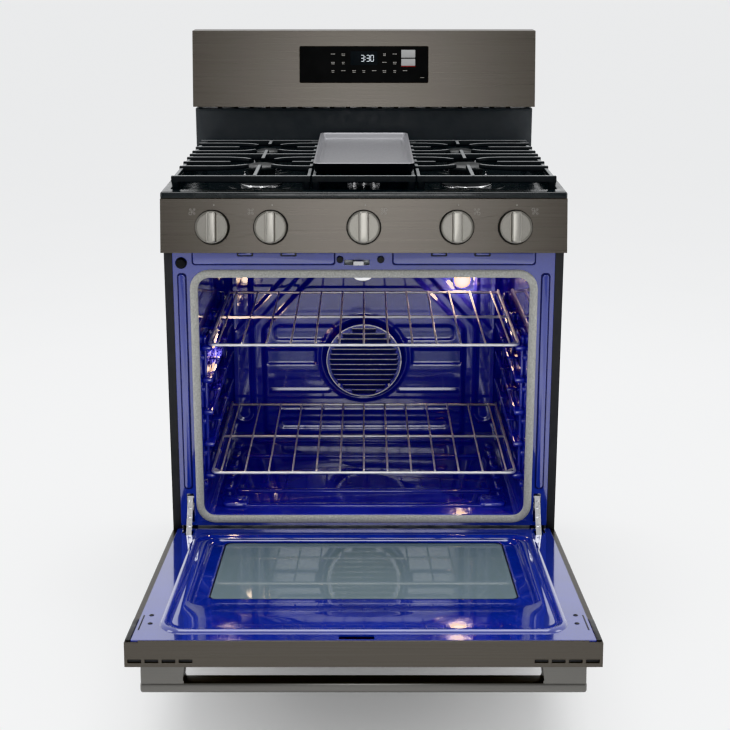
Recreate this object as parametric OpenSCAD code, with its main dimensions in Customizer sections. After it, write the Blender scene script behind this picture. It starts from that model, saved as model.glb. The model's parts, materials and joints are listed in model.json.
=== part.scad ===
// Freestanding gas range with a drop-down oven door, five burners and a storage drawer.
// X runs across the front, +Y points to the wall behind, +Z is up and z = 0 is the floor.
// The origin is on the floor, at the centre of the four feet. The oven door is stored open.

/* [Body] */
// Width over the side panels
body_w = 756; // [750:1:762]
// Thickness of the side panels and other casing sheet
sheet = 1.2; // [0.8:0.1:1.6]
// Height of the cooktop's lip above the floor
cooktop_z = 914; // [905:1:925]
// Height of the feet under the base
foot_h = 32; // [25:1:50]

/* [Oven] */
// Width of the oven cavity
cavity_w = 630; // [600:1:640]
// Height of the oven cavity
cavity_h = 484; // [470:1:490]
// Height of the oven floor above the room's floor
cavity_z = 265; // [260:1:270]
// Height of the upper rack's supports above the oven floor
rack_high = 341; // [341:1:343]
// Height of the lower rack's supports above the oven floor
rack_low = 78; // [76:1:80]

/* [Door] */
// Angle of the open door, from closed
door_open = 84.5; // [80:0.5:86]
// Height of the door from the hinge axis to its top edge
door_h = 566; // [560:1:568]
// Thickness of the door without its handle
door_t = 44; // [40:1:46]
// Width of the door's visible window
window_w = 534; // [480:1:540]

/* [Controls] */
// Lean of the control panel from upright
panel_lean = 10.8; // [8:0.1:12]
// Push needed to free a knob from its off position, as stem travel
knob_push = 3; // [1:0.5:3]

/* [Hidden] */
$fn = 48;
gap = 0.3;
half_w = body_w / 2;
front_y = -298;
wall_y = 320;
frame_t = 1.6;
base_z = foot_h;
frame_w = 724;
frame_z0 = 243;
panel_z0 = 803;
side_top_z = 884;
cavity_top = cavity_z + cavity_h;
cavity_half = cavity_w / 2;
rear_wall_y = 200;
foot_x = 330;
foot_y = 250;

// Door hinge: the axis lies inside the door's thickness, near its bottom edge.
hinge_y = -325;
hinge_z = 225;
door_face_v = -28;
door_back_v = door_face_v + door_t;
door_bottom_u = -20;
strut_x = 342;
strut_y = -292.5;
strut_z = 301;
strut_rest = 35.7;

// Control panel frame: origin on the panel's lower front edge.
panel_y = -340;
panel_h = 100.8;
knob_x = [-281, -172.6, 0, 172.6, 281];
knob_s = 48;

burner_x = 205;
burner_front_y = -95;
burner_rear_y = 120;
pan_z = 890;
grate_top = 939;

module rounded(w, h, r) {
    square([w - 2 * r, h], center = true);
    square([w, h - 2 * r], center = true);
    for (x = [-1, 1])
        for (y = [-1, 1])
            translate([x * (w / 2 - r), y * (h / 2 - r)])
                circle(r);
}

module rounded_ring(w, h, r, t) {
    difference() {
        rounded(w, h, r);
        rounded(w - 2 * t, h - 2 * t, max(r - t, 0.5));
    }
}

// A line of the given width through a list of points, with round corners.
module stroke(points, w) {
    for (i = [0 : len(points) - 2]) {
        run = points[i + 1] - points[i];
        translate(points[i])
            rotate(atan2(run[1], run[0]))
                translate([0, -w / 2])
                    square([norm(run), w]);
    }
    for (p = points)
        translate(p)
            circle(w / 2);
}

// Extrudes a shape drawn in X and Z along +Y, starting at y.
module along_y(y, depth) {
    translate([0, y + depth, 0])
        rotate([90, 0, 0])
            linear_extrude(depth)
                children();
}

// Extrudes a shape drawn in Y and Z along +X, starting at x.
module along_x(x, length) {
    translate([x, 0, 0])
        rotate([90, 0, 90])
            linear_extrude(length)
                children();
}

module block(x0, x1, y0, y1, z0, z1) {
    translate([x0, y0, z0])
        cube([x1 - x0, y1 - y0, z1 - z0]);
}

module rod(a, b, r) {
    run = b - a;
    translate(a)
        rotate([0, acos(run[2] / norm(run)), atan2(run[1], run[0])])
            cylinder(r = r, h = norm(run));
}

module both_sides() {
    children();
    mirror([1, 0, 0])
        children();
}

module on_panel() {
    translate([0, panel_y, panel_z0])
        rotate([-panel_lean, 0, 0])
            children();
}

// Places a child whose +Z points straight out of the control panel at a knob.
module at_knob(x) {
    on_panel()
        translate([x, 0, knob_s])
            rotate([90, 0, 0])
                children();
}

module on_door() {
    translate([0, hinge_y, hinge_z])
        rotate([door_open, 0, 0])
            children();
}

// ---- Casing ----

module side_panel() {
    flange = half_w - frame_w / 2;
    block(half_w - sheet, half_w, front_y, wall_y - sheet, base_z, side_top_z);
    block(half_w - flange, half_w - sheet, front_y, front_y + sheet, base_z, panel_z0 - gap);
    block(half_w - flange, half_w - sheet, wall_y - 2 * sheet, wall_y - sheet, base_z, side_top_z);
    block(half_w - flange, half_w - sheet, front_y + sheet, wall_y - 2 * sheet, side_top_z - sheet,
        side_top_z);
}

module side_panel_left() {
    color("dimgray")
        mirror([1, 0, 0])
            side_panel();
}

module side_panel_right() {
    color("dimgray")
        side_panel();
}

// An upper sheet and two lower ones, with the gas connection open between the lower two.
module rear_panel() {
    slot_w = 90;
    notch_half = 46;
    seam_z = inlet_z + notch_half;
    color("silver") {
        difference() {
            block(-half_w, half_w, wall_y - sheet, wall_y, seam_z + gap, side_top_z);
            for (row = [0 : 2])
                for (column = [-1 : 1])
                    block(column * 110 - slot_w / 2, column * 110 + slot_w / 2, wall_y - 5, wall_y + 5,
                        800 + row * 16, 806 + row * 16);
        }
        difference() {
            block(-half_w, inlet_x - notch_half, wall_y - sheet, wall_y, base_z, seam_z);
            translate([gland_x, wall_y, gland_z])
                rotate([90, 0, 0])
                    cylinder(r = 20, h = 10, center = true);
        }
        block(inlet_x + notch_half, half_w, wall_y - sheet, wall_y, base_z, seam_z);
    }
}

module base_frame() {
    rail_in = 352;
    color("slategray") {
        difference() {
            union() {
                both_sides() {
                    block(rail_in, half_w - sheet - gap, front_y + sheet + gap, wall_y - 3 * sheet - gap,
                        base_z, base_z + 2);
                    block(rail_in, rail_in + 2, front_y + sheet + gap, wall_y - 3 * sheet - gap,
                        base_z + 2, base_z + 28);
                    for (y = [-foot_y, foot_y])
                        block(rail_in - 48, rail_in, y - 26, y + 26, base_z, base_z + 2);
                }
                block(-rail_in, rail_in, wall_y - 32, wall_y - 3 * sheet - gap, base_z, base_z + 2);
                block(-rail_in, rail_in, wall_y - 34, wall_y - 32, base_z, base_z + 28);
            }
            for (x = [-foot_x, foot_x])
                for (y = [-foot_y, foot_y])
                    translate([x, y, base_z - 1])
                        cylinder(r = 4.05, h = 4);
        }
        lower_crossbar();
    }
}

module levelling_legs() {
    color("black")
        for (x = [-foot_x, foot_x])
            for (y = [-foot_y, foot_y])
                translate([x, y, 0]) {
                    cylinder(r = 19, h = 12);
                    cylinder(r = 11, h = base_z);
                    cylinder(r = 4, h = base_z + 16);
                }
}

// The rail across the front below the oven, with notches for the hinge arms and struts.
module lower_crossbar() {
    bar_y = front_y + frame_t;
    difference() {
        union() {
            block(-frame_w / 2 + gap, frame_w / 2 - gap, bar_y, bar_y + frame_t, 192, frame_z0 + 8);
            block(-frame_w / 2 + gap, frame_w / 2 - gap, bar_y + frame_t, bar_y + 26, 192, 193.6);
        }
        both_sides()
            block(330, 357, bar_y - 1, bar_y + 30, 196, frame_z0 + 10);
    }
}

// ---- Oven front ----

strut_slot_z0 = 250;
strut_slot_z1 = 310;
latch_x = -13;
latch_z = 776;

module front_frame() {
    slot_w = 14;
    color("slateblue")
        difference() {
            along_y(front_y, frame_t)
                difference() {
                    translate([-frame_w / 2 + gap / 3, frame_z0])
                        square([frame_w - gap, panel_z0 - frame_z0 - gap]);
                    translate([0, cavity_z + cavity_h / 2])
                        rounded(cavity_w, cavity_h, 24);
                }
            both_sides()
                block(strut_x - slot_w / 2, strut_x + slot_w / 2, front_y - 1, front_y + 3,
                    strut_slot_z0, strut_slot_z1);
            block(latch_x - 24, latch_x + 24, front_y - 1, front_y + 3, latch_z - 5, latch_z + 5);
        }
    color("slateblue")
        both_sides()
            for (x = [126, 208])
                block(x, x + 32, front_y - 2.4, front_y, 785, 790);
}

module oven_gasket() {
    ring_w = 661;
    ring_h = 513;
    color("gray")
        along_y(front_y - 5.8, 5.8)
            translate([0, 249 + ring_h / 2])
                rounded_ring(ring_w, ring_h, 38, 15.4);
}

// ---- Oven cavity ----

rib_heights = [rack_low, rack_low + 66, rack_low + 132, rack_low + 198, rack_high];
wall_t = 1.2;

module oven_liner() {
    y0 = front_y + frame_t;
    depth = rear_wall_y - y0;
    color("midnightblue") {
        along_y(y0, depth)
            difference() {
                translate([-cavity_half - wall_t, cavity_z - wall_t])
                    square([cavity_w + 2 * wall_t, cavity_h + 2 * wall_t]);
                translate([-cavity_half, cavity_z - 2 * wall_t])
                    square([cavity_w, cavity_h + 2 * wall_t]);
            }
        both_sides() {
            block(cavity_half + wall_t, cavity_half + 16, y0, y0 + wall_t, cavity_z, cavity_top);
            for (rib = rib_heights)
                block(cavity_half - 20, cavity_half, -270, 180, cavity_z + rib - 6, cavity_z + rib - 3.3);
            for (y = [-240, -60, 120])
                block(cavity_half - 6, cavity_half, y, y + 8, cavity_z + rack_low - 3.3,
                    cavity_z + rack_high - 6);
        }
        block(-cavity_half, cavity_half, y0, y0 + wall_t, cavity_top + wall_t, cavity_top + 14);
    }
}

fan_z = 447;
fan_r = 86;

module oven_rear_wall() {
    color("midnightblue")
        difference() {
            union() {
                along_y(rear_wall_y, wall_t)
                    translate([-cavity_half - wall_t, cavity_z - wall_t])
                        square([cavity_w + 2 * wall_t, cavity_h + 2 * wall_t]);
                for (x = [-275, 275])
                    along_y(rear_wall_y - 4, 4)
                        translate([x, cavity_z + 225])
                            rounded(50, 400, 20);
            }
            translate([0, rear_wall_y, fan_z])
                rotate([90, 0, 0])
                    cylinder(r = 5, h = 20, center = true);
        }
}

module oven_floor() {
    color("midnightblue")
        difference() {
            block(-cavity_half, cavity_half, front_y + frame_t, rear_wall_y, cavity_z - 2 * wall_t,
                cavity_z - wall_t);
            for (x = [-1, 1])
                for (i = [0 : 5])
                    block(x * 290 - 5, x * 290 + 5, -220 + i * 64, -180 + i * 64, cavity_z - 6, cavity_z + 6);
        }
}

module fan_cover() {
    slots = 13;
    slot_pitch = 12;
    cover_y = rear_wall_y - 32;
    color("midnightblue")
        difference() {
            translate([0, rear_wall_y, fan_z])
                rotate([90, 0, 0])
                    cylinder(r = fan_r, h = rear_wall_y - cover_y, $fn = 96);
            translate([0, rear_wall_y + 1, fan_z])
                rotate([90, 0, 0])
                    cylinder(r = fan_r - 1.5, h = rear_wall_y - cover_y - 0.5, $fn = 96);
            for (i = [-(slots - 1) / 2 : (slots - 1) / 2]) {
                z = i * slot_pitch;
                run = 2 * sqrt(pow(fan_r - 9, 2) - z * z);
                block(-run / 2, run / 2, cover_y - 1, cover_y + 5, fan_z + z - 2.5, fan_z + z + 2.5);
            }
        }
}

module convection_fan() {
    blades = 8;
    color("lightgray")
        difference() {
            translate([0, rear_wall_y - 2, fan_z])
                rotate([90, 0, 0]) {
                    cylinder(r = 74, h = 1.5);
                    cylinder(r = 12, h = 24);
                    for (i = [0 : blades - 1])
                        rotate(i * 360 / blades)
                            translate([22, -0.8, 0])
                                cube([50, 1.6, 24]);
                }
            translate([0, rear_wall_y + 10, fan_z])
                rotate([90, 0, 0])
                    cylinder(r = 4.05, h = 60);
        }
}

module fan_motor() {
    color("slategray")
        translate([0, rear_wall_y + wall_t, fan_z])
            rotate([-90, 0, 0]) {
                translate([0, 0, 28])
                    cylinder(r = 34, h = 44);
                for (side = [-1, 1])
                    translate([side * 60 - 8, -10, 0])
                        cube([16, 20, 32]);
                translate([-68, -10, 30])
                    cube([136, 20, 2]);
                translate([0, 0, -26])
                    cylinder(r = 4, h = 60);
            }
}

// A straight burner tube under the oven's ceiling, below a bent flame spreader on four hangers.
module broil_burner() {
    z = cavity_top - 22;
    wing = 130;
    rise = 12;
    plate = 1.6;
    color("gray") {
        rod([0, -200, z - 2], [0, rear_wall_y, z - 2], 9);
        along_y(-185, 320)
            polygon([[-wing, z - 4], [0, z - 4 + rise], [wing, z - 4], [wing, z - 4 + plate],
                [0, z - 4 + plate + rise], [-wing, z - 4 + plate]]);
        for (x = [-100, 100])
            for (y = [-150, 100])
                block(x - 5, x + 5, y - 1, y + 1, z - 1.6, cavity_top);
    }
}

module bake_burner() {
    z = cavity_z - 28;
    color("gray") {
        rod([0, -200, z], [0, 180, z], 12);
        for (x = [-110, 110])
            rod([x, -200, z], [x, 120, z], 10);
        rod([-110, -200, z], [110, -200, z], 10);
        rod([-110, 120, z], [110, 120, z], 10);
        rod([0, 180, z], [0, 240, z], 7);
    }
    color("slategray")
        block(-290, 290, -280, 196, z - 22, z - 20.8);
    color("slategray")
        for (y = [-150, 60])
            block(-60, 60, y - 2, y + 2, z - 20.8, z - 8);
}

module oven_lamps() {
    rear_lamp = [221, 629];
    side_lamp = [-92, 568];
    color("gold") {
        translate([rear_lamp[0], rear_wall_y - 14, rear_lamp[1]])
            rotate([-90, 0, 0]) {
                cylinder(r = 24, h = 4);
                translate([0, 0, 2])
                    cylinder(r = 20, h = 12);
            }
        translate([-cavity_half, side_lamp[0], side_lamp[1]])
            rotate([0, 90, 0])
                cylinder(r = 23, h = 8);
    }
}

sensor_x = 230;
sensor_z = 727;

module temperature_sensor() {
    color("silver") {
        translate([sensor_x, rear_wall_y - 3, sensor_z])
            rotate([-90, 0, 0])
                cylinder(r = 9, h = 3);
        rod([sensor_x, rear_wall_y - 3, sensor_z], [sensor_x, 110, sensor_z], 3);
    }
}

module insulation() {
    y0 = -220;
    y1 = rear_wall_y;
    color("khaki")
        difference() {
            block(-348, 348, y0, y1 + 30, cavity_z - 1, cavity_top + 34);
            block(-cavity_half - wall_t - gap, cavity_half + wall_t + gap, y0 - 1, y1 + wall_t + gap,
                cavity_z - 3, cavity_top + wall_t + gap);
            translate([0, y1, fan_z])
                rotate([-90, 0, 0])
                    cylinder(r = 80, h = 60);
            translate([sensor_x, y1, sensor_z])
                rotate([-90, 0, 0])
                    cylinder(r = 12, h = 60);
        }
}

// ---- Cooktop ----

lip_y = -321;
cooktop_rear = 283;
pocket_front = -288;
pocket_rear = 268;
pocket_half = 362;

module burner_seats(r) {
    for (x = [-burner_x, burner_x])
        for (y = [burner_front_y, burner_rear_y])
            translate([x, y, pan_z - 10])
                cylinder(r = r, h = 20);
    for (y = [-40, 70])
        translate([0, y, pan_z - 10])
            cylinder(r = r, h = 20);
}

module cooktop_pan() {
    t = 1.5;
    lip_z = cooktop_z - 11.7;
    color("black")
        difference() {
            union() {
                difference() {
                    block(-half_w, half_w, lip_y, cooktop_rear, side_top_z + gap, cooktop_z);
                    block(-half_w + t, half_w - t, lip_y + t, cooktop_rear - t, side_top_z - 1,
                        cooktop_z - t);
                    block(-half_w - 1, half_w + 1, lip_y - 1, front_y + 0.6, side_top_z - 1, lip_z);
                }
                block(-pocket_half - t, pocket_half + t, pocket_front - t, pocket_rear + t, pan_z - t,
                    cooktop_z - t / 2);
                block(-half_w, half_w, lip_y, front_y + 0.6, lip_z, lip_z + t);
            }
            block(-pocket_half, pocket_half, pocket_front, pocket_rear, pan_z, cooktop_z + 1);
            burner_seats(22);
        }
}

module burner_body(base_r, head_r) {
    translate([0, 0, pan_z - 14])
        cylinder(r = 21.5, h = 14);
    translate([0, 0, pan_z])
        cylinder(r = base_r, h = 9);
    translate([0, 0, pan_z + 9])
        cylinder(r = head_r, h = cap_z - pan_z - 9);
}

cap_z = pan_z + 34;
burner_sizes = [[42, 27, 30], [51.5, 33, 36], [36, 23, 26], [42, 27, 30]];

module each_burner() {
    places = [[-burner_x, burner_front_y], [burner_x, burner_front_y], [-burner_x, burner_rear_y],
        [burner_x, burner_rear_y]];
    for (i = [0 : 3])
        translate([places[i][0], places[i][1], 0]) {
            $base_r = burner_sizes[i][0];
            $head_r = burner_sizes[i][1];
            $cap_r = burner_sizes[i][2];
            children();
        }
}

module burner_bases() {
    color("silver") {
        each_burner()
            difference() {
                burner_body($base_r, $head_r);
                translate([0, 0, pan_z - 20])
                    cylinder(r = 8, h = 40);
                for (i = [0 : 11])
                    rotate(i * 30)
                        translate([$head_r - 5, -1, cap_z - 8])
                            cube([8, 2, 9]);
            }
        for (y = [-40, 70])
            translate([0, y, pan_z - 14])
                cylinder(r = 21.5, h = 14);
        translate([0, 15, pan_z])
            linear_extrude(9)
                rounded(72, 184, 35.9);
        translate([0, 15, pan_z + 9])
            linear_extrude(cap_z - pan_z - 11)
                rounded(52, 164, 25.9);
    }
}

module burner_caps() {
    color("black") {
        each_burner()
            translate([0, 0, cap_z]) {
                cylinder(r = $cap_r, h = 7);
                cylinder(r = $cap_r - 3, h = 10);
            }
        translate([0, 15, cap_z - 2])
            linear_extrude(8)
                rounded(60, 172, 29.9);
    }
}

// ---- Gas system ----

inlet_x = 270;
inlet_z = 160;
gland_x = -250;
gland_z = 120;

module gas_manifold() {
    pipe_s = 60;
    pipe_z = 838;
    pipe_x = 345;
    drop_y = 280;
    color("silver") {
        on_panel()
            rod([-335, pipe_s, knob_s], [pipe_x, pipe_s, knob_s], 8);
        rod([pipe_x, -273, pipe_z], [pipe_x, drop_y, pipe_z], 6.5);
        rod([pipe_x, drop_y, pipe_z + 6.5], [pipe_x, drop_y, inlet_z - 6.5], 6.5);
        rod([pipe_x, drop_y, inlet_z], [inlet_x + 25, drop_y, inlet_z], 6.5);
        regulator();
    }
}

// The regulator holds the inlet socket that the house's gas line screws into. Its shelf is fixed
// to both lower rear sheets.
module regulator() {
    difference() {
        union() {
            block(inlet_x - 30, inlet_x + 30, 262, 298, inlet_z - 25, inlet_z + 25);
            translate([inlet_x, 298, inlet_z])
                rotate([-90, 0, 0])
                    cylinder(r = 11, h = 20);
            block(inlet_x - 62, inlet_x + 62, 298, wall_y - sheet, inlet_z - 25, inlet_z - 22);
        }
        translate([inlet_x, 299, inlet_z])
            rotate([-90, 0, 0])
                cylinder(r = 7.5, h = 40);
    }
}

module cord_gland() {
    color("black")
        translate([gland_x, wall_y - sheet, gland_z])
            rotate([-90, 0, 0])
                difference() {
                    union() {
                        translate([0, 0, -6])
                            cylinder(r = 19.9, h = 7.2);
                        translate([0, 0, -6])
                            cylinder(r = 24, h = 6);
                    }
                    translate([0, 0, -7])
                        cylinder(r = 6, h = 20);
                }
}

module gas_valves() {
    color("tan")
        for (x = knob_x)
            at_knob(x)
                translate([0, 0, -52])
                    difference() {
                        union() {
                            cylinder(r = 11, h = 30);
                            translate([-14, -11, 0])
                                cube([28, 22, 14]);
                        }
                        translate([0, 0, 8])
                            cylinder(r = 4.05, h = 40);
                    }
}

module valve_stem(i) {
    color("silver")
        at_knob(knob_x[i])
            translate([0, 0, -40])
                cylinder(r = 4, h = 60);
}

module valve_stem_1() {
    valve_stem(0);
}

module valve_stem_2() {
    valve_stem(1);
}

module valve_stem_3() {
    valve_stem(2);
}

module valve_stem_4() {
    valve_stem(3);
}

module valve_stem_5() {
    valve_stem(4);
}

// ---- Control panel and knobs ----

module control_panel() {
    top_y = panel_y + panel_h * sin(panel_lean);
    top_z = panel_z0 + panel_h * cos(panel_lean);
    t = 1.5;
    color("gray")
        difference() {
            along_x(-half_w, body_w)
                polygon([[panel_y, panel_z0], [top_y, top_z], [front_y + 0.6, top_z],
                    [front_y + 0.6, side_top_z], [front_y - gap, side_top_z], [front_y - gap, panel_z0]]);
            along_x(-half_w + t, body_w - 2 * t)
                polygon([[panel_y + t * 1.1, panel_z0 + t], [top_y + t * 1.1, top_z - t],
                    [front_y + 2, top_z - t], [front_y + 2, side_top_z], [front_y + 1, panel_z0 + t]]);
            for (x = knob_x)
                at_knob(x)
                    cylinder(r = 6, h = 20, center = true);
        }
}

module knob_bezels() {
    color("dimgray")
        for (x = knob_x)
            at_knob(x)
                difference() {
                    cylinder(r = 32.6, h = 2.6);
                    translate([0, 0, 0.8])
                        cylinder(r = 31.4, h = 5);
                    translate([0, 0, -1])
                        cylinder(r = 6, h = 5);
                }
}

module knob(i) {
    disc_r = 30.4;
    start = knob_push + 1.4;
    color("silver")
        at_knob(knob_x[i])
            difference() {
                union() {
                    translate([0, 0, start])
                        cylinder(r = disc_r, h = 12);
                    translate([0, 0, start + 12])
                        intersection() {
                            cylinder(r = 27.5, h = 16);
                            translate([-9.5, -30, 0])
                                cube([19, 60, 16]);
                        }
                }
                translate([0, 0, start - 1])
                    cylinder(r = 4.05, h = 17);
            }
}

module knob_1() {
    knob(0);
}

module knob_2() {
    knob(1);
}

module knob_3() {
    knob(2);
}

module knob_4() {
    knob(3);
}

module knob_5() {
    knob(4);
}

// ---- Backguard ----

guard_z = 1011.5;
guard_top = 1176;
guard_gap = 8;
guard_low_y = 235;
guard_high_y = 262;
guard_lean = atan((guard_high_y - guard_low_y) / (guard_top - guard_z));

module backguard_lower() {
    color("dimgray")
        difference() {
            block(-half_w, half_w, cooktop_rear, wall_y, side_top_z, guard_z - guard_gap);
            block(-half_w + sheet, half_w - sheet, cooktop_rear + sheet, wall_y - sheet, side_top_z - 1,
                guard_z - guard_gap - sheet);
            for (i = [-6 : 6])
                block(i * 50 - 18, i * 50 + 18, cooktop_rear + 12, cooktop_rear + 20, guard_z - 12, guard_z);
        }
    color("black")
        both_sides()
            block(half_w - 14, half_w - 6, cooktop_rear + 4, wall_y - 6, guard_z - guard_gap, guard_z);
}

module guard_outline(inset) {
    polygon([[guard_low_y + inset * 1.1, guard_z + inset], [wall_y - inset, guard_z + inset],
        [wall_y - inset, guard_top - inset], [guard_high_y + inset * 1.1, guard_top - inset]]);
}

module on_guard() {
    translate([0, guard_low_y, guard_z])
        rotate([-guard_lean, 0, 0])
            children();
}

display_w = 284;
display_h = 80;
display_s = 92.5;

module backguard_panel() {
    color("gray")
        difference() {
            along_x(-half_w, body_w)
                guard_outline(0);
            along_x(-half_w + sheet, body_w - 2 * sheet)
                guard_outline(sheet);
            on_guard()
                translate([0, 0, display_s])
                    along_y(-2, 10)
                        rounded(display_w - 8, display_h - 8, 3);
            for (row = [0 : 5])
                block(-250, 250, wall_y - 5, wall_y + 5, 1050 + row * 14, 1056 + row * 14);
        }
}

module display_glass() {
    color("black")
        on_guard()
            translate([0, 0, display_s])
                along_y(-1.8, 1.8)
                    rounded(display_w, display_h, 3);
}

module control_board() {
    color("green")
        on_guard() {
            block(-120, 120, 12, 14, display_s - 34, display_s + 34);
            block(-60, 60, 6, 12, display_s - 12, display_s + 20);
        }
}

// ---- Door latch ----

latch_pin_y = -280;

module latch_housing() {
    color("silver")
        difference() {
            union() {
                block(latch_x - 45, latch_x + 45, front_y + frame_t, -262, latch_z - 9, latch_z - 7.5);
                block(latch_x - 45, latch_x + 45, front_y + frame_t, -262, latch_z + 7.5, latch_z + 9);
                block(latch_x - 45, latch_x + 45, -262, -260.5, latch_z - 9, latch_z + 9);
                translate([latch_x, latch_pin_y, latch_z - 8])
                    cylinder(r = 4, h = 16);
            }
        }
    color("black")
        for (x = [latch_x - 32, latch_x + 45])
            translate([x, front_y, latch_z + 6])
                rotate([90, 0, 0])
                    cylinder(r = 4.5, h = 3);
}

module door_latch() {
    color("silver")
        translate([latch_x, latch_pin_y, latch_z - 4])
            difference() {
                union() {
                    cylinder(r = 8, h = 8);
                    translate([-7, -25, 0])
                        cube([14, 25, 8]);
                    translate([-7, -27, 0])
                        cube([20, 8, 8]);
                }
                translate([0, 0, -1])
                    cylinder(r = 4.05, h = 10);
            }
}

// ---- Door hinges ----

module hinge_receivers() {
    pin_r = 2.5;
    color("silver")
        both_sides() {
            block(331.5, 333.5, front_y + frame_t, -236, 212, 318);
            block(351, 353, front_y + frame_t + 3, -236, 258, 318);
            block(333.5, 351, -238, -236, 212, 318);
            rod([333.5, strut_y, strut_z], [352, strut_y, strut_z], pin_r);
            difference() {
                block(351, 353, front_y + frame_t, strut_y + 4, strut_z - 6, strut_z + 6);
                rod([333.5, strut_y, strut_z], [352.5, strut_y, strut_z], pin_r);
            }
            block(351, 356, hinge_y, -236, hinge_z - 7, hinge_z + 7);
            rod([351, hinge_y, hinge_z], [356, hinge_y, hinge_z], 9);
            rod([348, hinge_y, hinge_z], [359.2, hinge_y, hinge_z], 4);
            block(351, 353, -275, -236, hinge_z + 7, 258);
        }
}

module hinge_strut() {
    length = 84;
    strut_t = 10.4;
    color("silver")
        translate([strut_x - strut_t / 2, strut_y, strut_z])
            rotate([-strut_rest, 0, 0])
                difference() {
                    union() {
                        rotate([0, 90, 0])
                            cylinder(r = 4.5, h = strut_t);
                        translate([0, -4.5, -length])
                            cube([strut_t, 9, length]);
                    }
                    translate([-1, 0, 0])
                        rotate([0, 90, 0])
                            cylinder(r = 2.55, h = strut_t + 2);
                    for (z = [-22, -40, -58])
                        translate([-1, 0, z])
                            rotate([0, 90, 0])
                                cylinder(r = 2.6, h = strut_t + 2);
                    translate([2.2, -5, -length - 1])
                        cube([6, 6.5, length - 8]);
                }
}

module hinge_strut_left() {
    mirror([1, 0, 0])
        hinge_strut();
}

module hinge_strut_right() {
    hinge_strut();
}

// ---- Drawer ----

drawer_face_y = -350;
drawer_half = 318;

module drawer_rails() {
    color("silver")
        both_sides() {
            block(340, 342, -270, 270, 96, 122);
            block(328, 340, -270, 270, 96, 98);
            block(328, 340, -270, 270, 120, 122);
            for (y = [-240, 240])
                block(342, half_w - sheet - gap, y - 12, y + 12, 104, 110);
        }
}

module drawer_front() {
    t = 1.5;
    y1 = front_y - 2;
    color("gray")
        difference() {
            block(-half_w + 1, half_w - 1, drawer_face_y, y1, 62, 186);
            block(-half_w + 1 + t, half_w - 1 - t, drawer_face_y + t, y1 + 1, 62 + t, 186 - t);
        }
}

module drawer_box() {
    t = 1.2;
    y0 = drawer_face_y + 1.5;
    y1 = 240;
    color("slategray") {
        difference() {
            block(-drawer_half, drawer_half, front_y - 2, y1, 68, 168);
            block(-drawer_half + t, drawer_half - t, front_y - 2 + t, y1 - t, 68 + t, 170);
        }
        both_sides()
            difference() {
                block(drawer_half, 338.5, -262, y1, 101, 117);
                block(drawer_half + 3, 336, -263, y1 + 1, 99, 115);
            }
        for (x = [-200, 200])
            block(x - 10, x + 10, y0, front_y - 2, 100, 140);
    }
}

// ---- Door ----

u_top = door_h;
liner_half = 368;
window_u = 207;
window_h = 310;
recess_w = 588;
recess_h = 362;
recess_u = 227;
recess_depth = 6;
bead_u = 281.5;

module door_skin() {
    t = 1.2;
    step = 2.6;
    color("gray")
        on_door()
            difference() {
                union() {
                    difference() {
                        block(-half_w, half_w, door_face_v, door_back_v - step, door_bottom_u, u_top);
                        block(-half_w + t, half_w - t, door_face_v + t, door_back_v + 5, door_bottom_u + t,
                            u_top - t);
                    }
                    both_sides()
                        block(liner_half - 8, half_w - t, door_back_v - step - t, door_back_v - step,
                            door_bottom_u + t, u_top - t);
                    block(-liner_half, liner_half, door_back_v - step - t, door_back_v - step, u_top - 10,
                        u_top - t);
                    block(-half_w + 22, half_w - 22, door_back_v - step, door_back_v, u_top - 2.4, u_top);
                }
                along_y(door_face_v - 1, 4)
                    translate([0, window_u])
                        rounded(window_w + 20, window_h, 12);
                for (side = [-1, 1])
                    for (i = [0 : 3])
                        translate([side * (half_w - 16 - i * 27), door_face_v + 10, u_top])
                            cube([21.5, 5, 10], center = true);
                door_notches();
            }
}

// Openings that the hinge arms pass through, from the door's lower edge to its inner face.
module door_notches() {
    both_sides()
        block(350.6, 356.4, door_face_v + 8, door_back_v + 8, door_bottom_u - 1, 13);
}

module door_liner() {
    t = 1.2;
    color("royalblue")
        on_door()
            difference() {
                union() {
                    along_y(door_back_v - t, t)
                        difference() {
                            translate([-liner_half, door_bottom_u + 2])
                                square([2 * liner_half, u_top - door_bottom_u - 5]);
                            translate([0, recess_u])
                                rounded(recess_w - 2 * t, recess_h - 2 * t, 30);
                        }
                    along_y(door_back_v - 2.6, 1.4)
                        difference() {
                            translate([-liner_half, door_bottom_u + 2])
                                square([2 * liner_half, u_top - door_bottom_u - 5]);
                            translate([-liner_half + 4, door_bottom_u + 6])
                                square([2 * liner_half - 8, u_top - door_bottom_u - 13]);
                        }
                    along_y(door_back_v - recess_depth, recess_depth - t)
                        translate([0, recess_u])
                            rounded_ring(recess_w, recess_h, 31, t);
                    along_y(door_back_v - recess_depth - t, t)
                        difference() {
                            translate([0, recess_u])
                                rounded(recess_w, recess_h, 31);
                            translate([0, window_u])
                                rounded(window_w, window_h, 14);
                        }
                    along_y(door_back_v, 4.8)
                        translate([0, bead_u])
                            rounded_ring(658, 500, 37, 12);
                }
                both_sides()
                    block(strut_x - 8, strut_x + 8, door_back_v - 5, door_back_v + 8, -12, 26);
                block(latch_x - 26, latch_x + 30, door_back_v - 5, door_back_v + 8, latch_z - hinge_z - 8,
                    latch_z - hinge_z + 8);
                door_notches();
            }
}

module door_glass() {
    color("darkslategray")
        on_door() {
            along_y(door_back_v - recess_depth - 5.2, 4)
                translate([0, window_u])
                    rounded(window_w + 40, window_h + 12, 10);
            along_y(door_face_v + 1.2, 4)
                translate([0, window_u])
                    rounded(window_w + 60, window_h + 60, 10);
        }
}

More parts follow.
